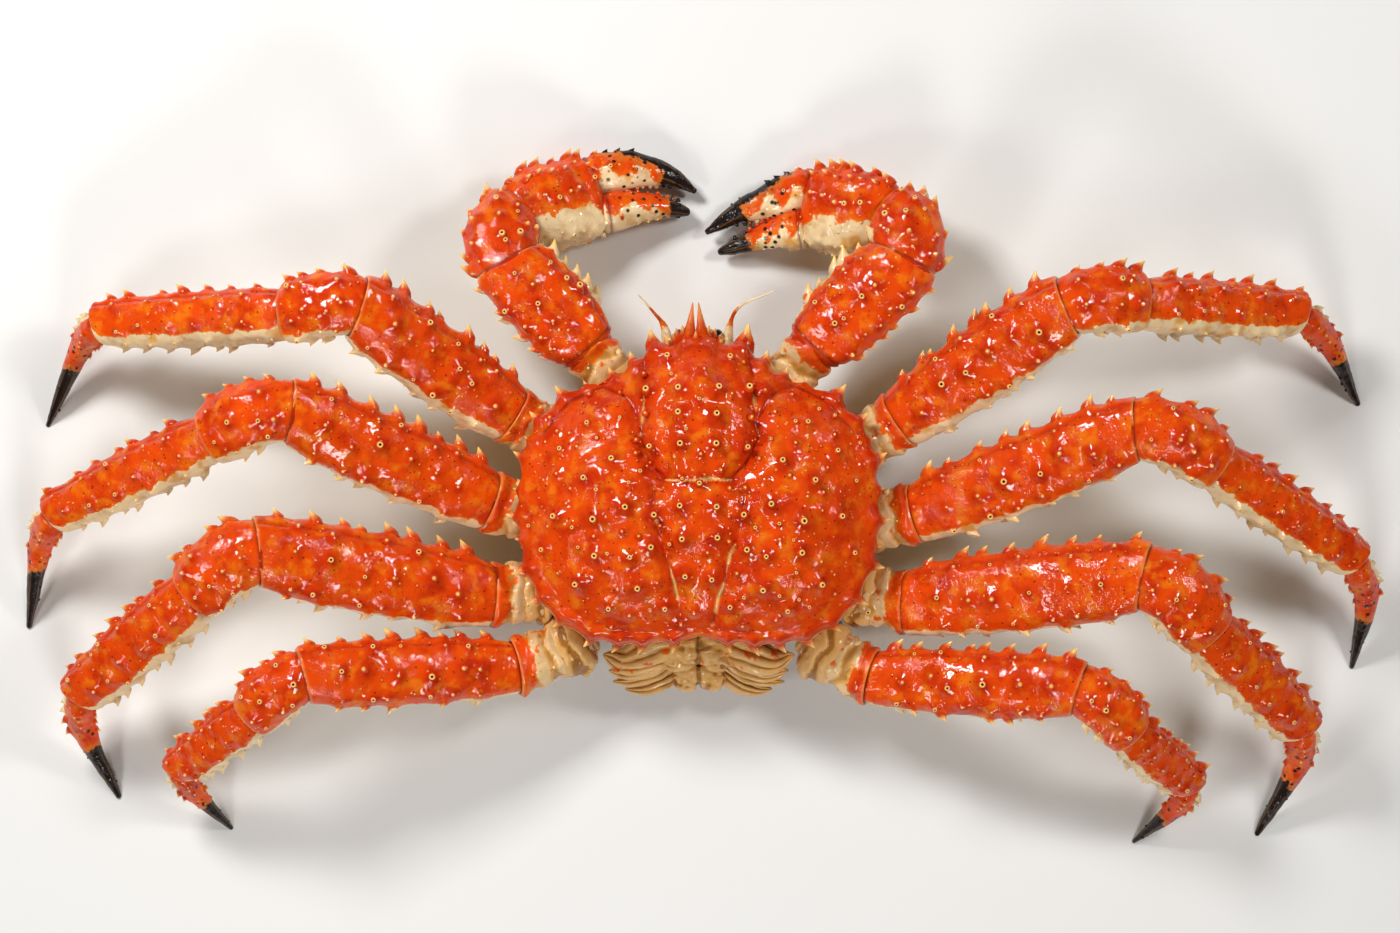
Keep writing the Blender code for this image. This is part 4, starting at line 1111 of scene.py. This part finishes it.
def jointed_limbs(kinds, lines, widths, front):
    """The segments of one limb, mitred where they meet."""
    joints = [None, *(joint_normal(a, b) for a, b in zip(lines, lines[1:])), None]
    return [Limb(kind, line, width, front, start, end) for kind, line, width, start, end
            in zip(kinds, lines, widths, joints, joints[1:])]


def make_leg(side, number):
    """A walking leg of five pieces."""
    widths = [LEG_WIDTHS[kind][number] for kind in LEG_KINDS]
    for limb in jointed_limbs(LEG_KINDS, leg_lines(side, number), widths, FRONT[side]):
        kind = limb.kind
        limb_piece(f"{side}_leg_{number}_{kind}_shell", limb, LEG_SPINES[kind],
                   SLOTS.get(kind, "red_shell"), [f"leg_{side}_{number}_{kind}"],
                   leg_cream(kind, number))


for leg_side, leg_number in LEG_PLAN:
    make_leg(leg_side, leg_number)


# The claws: arms of three segments and a swollen hand, of shell that is orange outside and
# cream inside, with a fixed finger grown on the hand and a moving one hinged beside it,
# both toothed and ending in black horn.

ARM_JOINTS = {
    "left": ((-39, 54, 33), (-62.5, 83.5, 42), (-104.5, 128, 54), (-101, 154, 37),
             (-57, 167.5, 12.6)),
    "right": ((40.5, 54, 33), (65.5, 84, 42), (112.5, 129, 54), (105.5, 153.5, 37),
              (61, 160.5, 12.6)),
}
# The fingers' middle lines; the moving one starts beside the end of the hand
MOVING_FINGER = {
    "left": ((-38, 181.5, 15), (-18.5, 179.5, 12), (-1.5, 170, 8)),
    "right": ((42.5, 165, 15), (23, 158.5, 12), (4, 147, 8)),
}
FIXED_FINGER = {
    "left": ((-50.5, 158, 16.5), (-32.5, 161, 15), (-17, 160.5, 12), (-5, 158.5, 8)),
    "right": ((56.5, 148.5, 16.5), (42.5, 146.5, 15), (29, 141.5, 12), (11, 136, 8)),
}
MOVING_FINGER_OFFSET = 10.5
ARM_WIDTHS = {"base": 32, "merus": 43, "carpus": 37.5, "palm": 47, "moving": 22, "fixed": 16}
CLAW_NAMES = {"palm": "hand_shell", "moving": "moving_finger", "fixed": "fixed_finger"}
ARM_SPINES = {
    "base": LEG_SPINES["base"],
    "merus": ((4, 5, 0.15, 0.97, "sharp", 6.2), (45, 4, 0.15, 0.9, "ringed", 3.4),
              (90, 5, 0.15, 0.92, "ringed", 3.6), (135, 5, 0.1, 0.92, "ringed", 3.4),
              (176, 6, 0.08, 0.96, "sharp", 4.2)),
    "carpus": ((10, 3, 0.2, 0.9, "sharp", 4.8), (50, 4, 0.15, 0.9, "ringed", 3.4),
               (90, 5, 0.1, 0.9, "ringed", 3.4), (130, 5, 0.1, 0.92, "ringed", 3.6),
               (172, 6, 0.06, 0.95, "sharp", 5.8)),
    "palm": ((172, 6, 0.06, 0.95, "sharp", 5.2), (140, 6, 0.1, 0.92, "sharp", 3.2),
             (100, 5, 0.15, 0.9, "ringed", 3.4), (38, 6, 0.3, 0.95, "ringed", 1.8),
             (2, 6, 0.3, 0.95, "ringed", 1.6)),
    "moving": ((165, 4, 0.04, 0.4, "sharp", 2.4), (105, 4, 0.06, 0.4, "ringed", 2.0),
               (0, 7, 0.25, 0.8, "tooth", 1.8)),
    "fixed": ((20, 4, 0.1, 0.6, "ringed", 1.4), (178, 7, 0.2, 0.85, "tooth", 1.7)),
}


def arm_cream(kind):
    """How far past the cream's border each vertex of a claw arm's segment is."""
    def measure(s, length, degrees):
        if kind == "base":
            return leg_cream("base", 1)(s, length, degrees)
        if kind == "palm":
            low = 82 - 40 * smoothstep(s / length, 0.72, 1.0)
            return np.where(band(degrees, -22, -2) < 0, -3.0, band(degrees, low, 225) * 0.3)
        if kind in ("moving", "fixed"):
            blots = np.sin(s * 0.45 + np.radians(degrees) * 2) * 1.6
            return band(degrees, 88, 290) * 0.1 + blots - smoothstep(s / length, 0.4, 0.75) * 6
        return band(degrees, 14, 176) * 0.28
    return measure


def make_claw(side):
    """A claw arm with its hand and two fingers."""
    points = [Vector(p) * MM for p in ARM_JOINTS[side]]
    lines = [[a, b] for a, b in zip(points, points[1:])]
    lines[2] = arched(lines[1:4])
    limbs = jointed_limbs(ARM_WIDTHS, lines, ARM_WIDTHS.values(), FRONT[side])
    inner = (points[4] - points[3]).normalized().cross(UP).normalized() * FRONT[side]
    beside = points[4] - inner * MOVING_FINGER_OFFSET * MM
    for kind, line in (("moving", [beside] + [Vector(p) * MM for p in MOVING_FINGER[side]]),
                       ("fixed", [Vector(p) * MM for p in FIXED_FINGER[side]])):
        limbs.append(Limb(kind, line, ARM_WIDTHS[kind], FRONT[side]))
    for limb in limbs:
        kind = limb.kind
        nodes = {"moving": [f"claw_{side}_finger"], "fixed": []}.get(kind, [f"claw_{side}_{kind}"])
        limb_piece(f"{side}_claw_{CLAW_NAMES.get(kind, kind + '_shell')}", limb,
                   ARM_SPINES[kind], SLOTS.get(kind, "red_shell"), nodes, arm_cream(kind))


make_claw("left")
make_claw("right")


# The body below the carapace: a cream bowl of thin shell and skin with the carapace's
# outline, folded where it shows between the legs, with a rounded hip at each limb's root.

BODY_TOP, BODY_DEPTH, BODY_REACH = 53.5, 38, 0.955
HIP_SIZE = (14, 18, 15)
# How far along the way from root to thigh a hip's middle is, and the depth of its pleats
HIP_PLACE, PLEAT_DEPTH = 0.22, 1.5


def ball(sides, rings, size=(1, 1, 1), centre=(0, 0, 0)):
    """A ball with the directions of its vertices, and with their places for a size and
    centre in millimetres."""
    bm = bmesh.new()
    bmesh.ops.create_uvsphere(bm, u_segments=sides, v_segments=rings, radius=1)
    unit = np.array([v.co for v in bm.verts])
    return bm, unit, (unit * np.array(size) + np.array(centre)) * MM


def cream_piece(name, parts, node):
    """A cream piece of several closed bodies, with brown shade painted into their folds. Each is
    its bmesh, places, relief, and how far past the cream's border it is, in millimetres."""
    whole = bmesh.new()
    for bm, *_ in parts:
        mesh = bpy.data.meshes.new("part")
        bm.to_mesh(mesh)
        bm.free()
        whole.from_mesh(mesh)
        bpy.data.meshes.remove(mesh)
    cream = np.repeat([part[3] for part in parts], [len(part[1]) for part in parts])
    places, relief = (np.concatenate([part[i] for part in parts]) for i in (1, 2))
    # Brown painted as shade in the dips of each body's relief, over the body's cream
    body_tone_and_crease_shade = 0.2 + 0.8 * smoothstep(-relief, -0.2, 0.5)
    finish_piece(name, whole, places, {"cream": cream, "body_tone_and_crease_shade": body_tone_and_crease_shade}, "cream_shell", [node])


def body_bowl():
    """The bowl under the carapace, wrinkled at its sides."""
    bm, unit, _ = ball(256, 96)
    angles = np.arctan2(unit[:, 0], unit[:, 1])
    share = np.minimum(np.hypot(unit[:, 0], unit[:, 1]), 1)
    low = unit[:, 2] < 0
    radius = margin_radius(angles) * BODY_REACH * np.where(low, share ** 0.55, share)
    height = BODY_TOP - 1 + np.where(low, -BODY_DEPTH * (1 - share ** 2.2) ** 0.5,
                                     (1 - share ** 2) ** 0.5)
    places = np.stack([np.sin(angles) * radius, np.cos(angles) * radius, height * MM], 1)
    relief = folds(places, (9, 9, 4), 31)
    places[:, :2] *= (1 + relief * 0.018 * smoothstep(share, 0.6, 1.0) * low)[:, None]
    return bm, places, relief, 2.6


def hip(root, thigh, seed):
    """The pleated ball of skin at a limb's root, turned along the limb."""
    bm, unit, _ = ball(64, 40)
    lengthwise = (thigh - root).normalized()
    sideways = UP.cross(lengthwise)
    turn = np.array(Matrix((lengthwise, sideways.normalized(),
                            lengthwise.cross(sideways).normalized())))
    places = ((unit * np.array(HIP_SIZE)) @ turn + np.array(root.lerp(thigh, HIP_PLACE))) * MM
    bent = unit[:, 0] * HIP_SIZE[0] + lumps(places, 11 * MM, seed) * 5
    relief = pleats(bent) + folds(places, (5, 5, 9), seed) * 0.6
    return bm, places + unit @ turn * (relief * PLEAT_DEPTH * MM)[:, None], relief, 2.6


limb_roots = [((*plan[0], ROOT_Z), (*plan[1], THIGH_Z)) for plan in LEG_PLAN.values()]
limb_roots += [plan[:2] for plan in ARM_JOINTS.values()]
cream_piece("body_shell", [body_bowl()] + [hip(Vector(root), Vector(thigh), 40 + i)
                                           for i, (root, thigh) in enumerate(limb_roots)],
            "underbody")


# The abdomen: a tail of thin cream plates in tough skin, folded down and forward under the
# belly. Lobes in the middle and wrinkled plates swept out at each side show behind the
# carapace, and the flat flap lies below.

# Middle lines of the plates of one side, with their width and thickness
SIDE_PLATES = (
    (((9, -81, 45), (24, -85, 44), (40, -91, 41), (53, -88, 38)), 19, 11),
    (((9, -86, 38), (24, -93, 37), (38, -98, 35), (50, -97, 33)), 12, 9),
    (((9, -90, 33), (22, -97, 32), (36, -102.5, 30), (48, -103.5, 28)), 9, 8),
    (((9, -94, 27), (20, -102, 26), (31, -107, 24), (41, -108, 23)), 10, 8),
    (((8, -92, 21), (18, -103, 20), (28, -108, 19), (35, -109, 18)), 8, 7),
)
# The middle lobes: centre and half sizes
MIDDLE_LOBES = (
    ((0, -84, 43), (19, 10, 9)), ((-11, -91.5, 40), (8.5, 5.5, 7)),
    ((11, -91.5, 40), (8.5, 5.5, 7)), ((0, -97, 31), (14, 8, 9)),
    ((-6.5, -102, 29), (8.5, 6.5, 8)), ((6.5, -102, 29), (8.5, 6.5, 8)),
)
ABDOMEN_END = -113 * MM
# Depth of the plates' creases and of the lobes' folds, and the furrow's depth and half width
PLATE_CREASE, LOBE_FOLD, FURROW_DEPTH, FURROW_WIDTH = 1.7, 1.8, 1.6, 1.3
FLAP_SIZE, FLAP_PLACE, FLAP_PLATES = (36, 56, 6), (0, -26, 9), 6
FLAP_LOW, FLAP_HIGH, FLAP_SEAM = 1.5 * MM, 13.6 * MM, 1.2


def side_plate(line, width, thickness, hand, i):
    """A pointed plate along its line, with creases that run its length."""
    bm, unit, _ = ball(72, 64)
    points = [Vector((x * hand, y, z)) for x, y, z in line]
    t = (unit[:, 2] + 1) / 2
    centre = np.array([along(points, value) for value in t])
    ahead = unit_rows(np.array([along(points, value + 0.02) for value in t]) - centre)
    across = unit_rows(np.cross(ahead, np.array(UP)))
    over = np.cross(across, ahead)
    swell = np.sin(np.pi * np.clip(t, 0, 1) ** 0.75) ** 0.7
    girth = np.maximum(np.hypot(unit[:, 0], unit[:, 1]), 1e-6)
    round_x, round_y = unit[:, 0] / girth, unit[:, 1] / girth
    lens = np.sign(round_y) * np.abs(round_y) ** 1.7 - 0.35 * round_x ** 2
    plate = centre + across * (round_x * swell * width / 2)[:, None]
    plate = (plate + over * (lens * swell * thickness / 2)[:, None]) * MM
    bent = round_x * 4.4 + lumps(plate, 12 * MM, 60 + i * 3 + hand) * 1.6
    relief = 2 * np.abs(np.sin(bent + i)) ** 0.7 - 1
    relief += folds(plate, (9, 2.4, 4), 20 + i * 3 + hand) * 0.35
    outward = over + across * (round_x * 0.6)[:, None]
    plate += outward * (relief * swell * PLATE_CREASE * MM)[:, None]
    plate[:, 1] = np.maximum(plate[:, 1], ABDOMEN_END)
    return bm, plate, relief, 4.0 if i else 1.2


def middle_lobe(centre, size, i):
    """A wrinkled lobe with the furrow that runs down the middle of them all."""
    bm, unit, lobe = ball(96, 64, size, centre)
    relief = folds(lobe, (5, 3.5, 5), 80 + i)
    furrow = np.exp(-(lobe[:, 0] / (FURROW_WIDTH * MM)) ** 2)
    lobe += unit * ((relief * LOBE_FOLD - furrow * FURROW_DEPTH) * MM)[:, None]
    lobe[:, 1] = np.maximum(lobe[:, 1], ABDOMEN_END)
    return bm, lobe, relief - furrow, 5.0 if i else 1.7


def flap():
    """The flat flap under the belly, with seams between its plates."""
    bm, unit, places = ball(96, 96, FLAP_SIZE, FLAP_PLACE)
    steps = np.abs((unit[:, 1] * FLAP_PLATES / 2) % 1 - 0.5) * 2
    seam = smoothstep(steps, 0.75, 1.0)
    places[:, 2] += seam * FLAP_SEAM * MM * (unit[:, 2] < 0)
    places[:, 2] = np.clip(places[:, 2], FLAP_LOW, FLAP_HIGH)
    return bm, places, folds(places, (12, 4, 4), 95) - seam, 5.0


cream_piece("abdomen_plates",
            [side_plate(*plate, hand, i) for hand in (1, -1) for i, plate in enumerate(SIDE_PLATES)]
            + [middle_lobe(*lobe, i) for i, lobe in enumerate(MIDDLE_LOBES)], "abdomen_fold")
cream_piece("abdomen_flap_shell", [flap()], "abdomen_flap")


# The head below the rostrum: a mouth of cream plates between two jointed palps, glossy
# black eyes on short stalks, a pale knob at each side of the rostrum, and feelers with a
# thick jointed base and a whip-like end.

PALP_LINE = ((8, 73, 21), (9, 82, 22), (8.5, 90, 28), (6.5, 92, 37))
# Centres and half sizes; the last two are the pale knobs
MOUTH_PLATES = (
    ((0, 72, 26), (14, 5, 11)), ((-8, 75, 24), (6, 5, 9)), ((8, 75, 24), (6, 5, 9)),
    ((-15, 76, 46), (6, 7, 6)), ((15, 76, 46), (6, 7, 6)), ((0, 78, 46), (9, 5, 6)),
    ((-16.4, 84.5, 63), (2.5, 3.3, 3.5)), ((12.2, 84.5, 63), (2.5, 3.3, 3.5)),
)
# Each eye stalk's two ends, the second in the eye
EYES = {"left": ((-9, 78, 48.5), (-10.5, 87, 49.5)), "right": ((9, 78, 48.5), (10.5, 87, 49.5))}
EYE_SIZE = (3.4, 4.6, 3.4)
EYE_BLACK = (0.004, 0.004, 0.005, 1)
FEELERS = {
    "left": ((-16, 78, 47), (-19, 93, 48), (-25, 101, 55), (-33, 110, 62)),
    "right": ((16, 78, 47), (17, 93, 48), (23, 104, 57), (42, 112, 64)),
}
FEELER_WIDTH, PALP_WIDTH, STALK_WIDTH = 7.4, 7, 5.6


def mouth_plate(centre, size, i):
    """A small wrinkled plate or knob."""
    bm, unit, plate = ball(56, 40, size, centre)
    relief = folds(plate, (3, 6, 6), 110 + i)
    return bm, plate + unit * (relief * 0.6 * MM)[:, None], relief, 5.0


def small_limb(name, points, width, slot, nodes, cream):
    """A feeler, palp or stalk: a tapering tube without spines."""
    limb = Limb("feeler", [Vector(p) * MM for p in points], width, 1)
    limb_piece(name, limb, (), slot, nodes, cream)


cream_piece("mouth_plates", [mouth_plate(*row, i) for i, row in enumerate(MOUTH_PLATES)],
            "mouthparts")

eye_material = new_material("glossy_eye", {
    "Base Color": EYE_BLACK, "Roughness": 0.08, "Coat Weight": 1.0})
for eye_side, (stalk_root, stalk_end) in EYES.items():
    eye_bm, _, eye_surface = ball(40, 28, EYE_SIZE, stalk_end)
    finish_piece(eye_side + "_eye", eye_bm, eye_surface, {}, "eye_black", ["eye_" + eye_side],
                 material=eye_material)
    small_limb(eye_side + "_eye_stalk",
               [stalk_root, np.add(stalk_root, stalk_end) / 2, stalk_end], STALK_WIDTH,
               "red_shell", [], lambda s, length, degrees: 4 - s)

for feeler_side, feeler_line in FEELERS.items():
    small_limb(f"{feeler_side}_feeler_shell", feeler_line, FEELER_WIDTH, "red_shell",
               [f"feeler_{feeler_side}"],
               lambda s, length, degrees: np.abs(s / length - 0.5) * 11 - 1.4)
    small_limb(f"{feeler_side}_palp_shell",
               [(x * -FRONT[feeler_side], y, z) for x, y, z in PALP_LINE], PALP_WIDTH,
               "cream_shell", [], lambda s, length, degrees: 4 - s * 0.2)
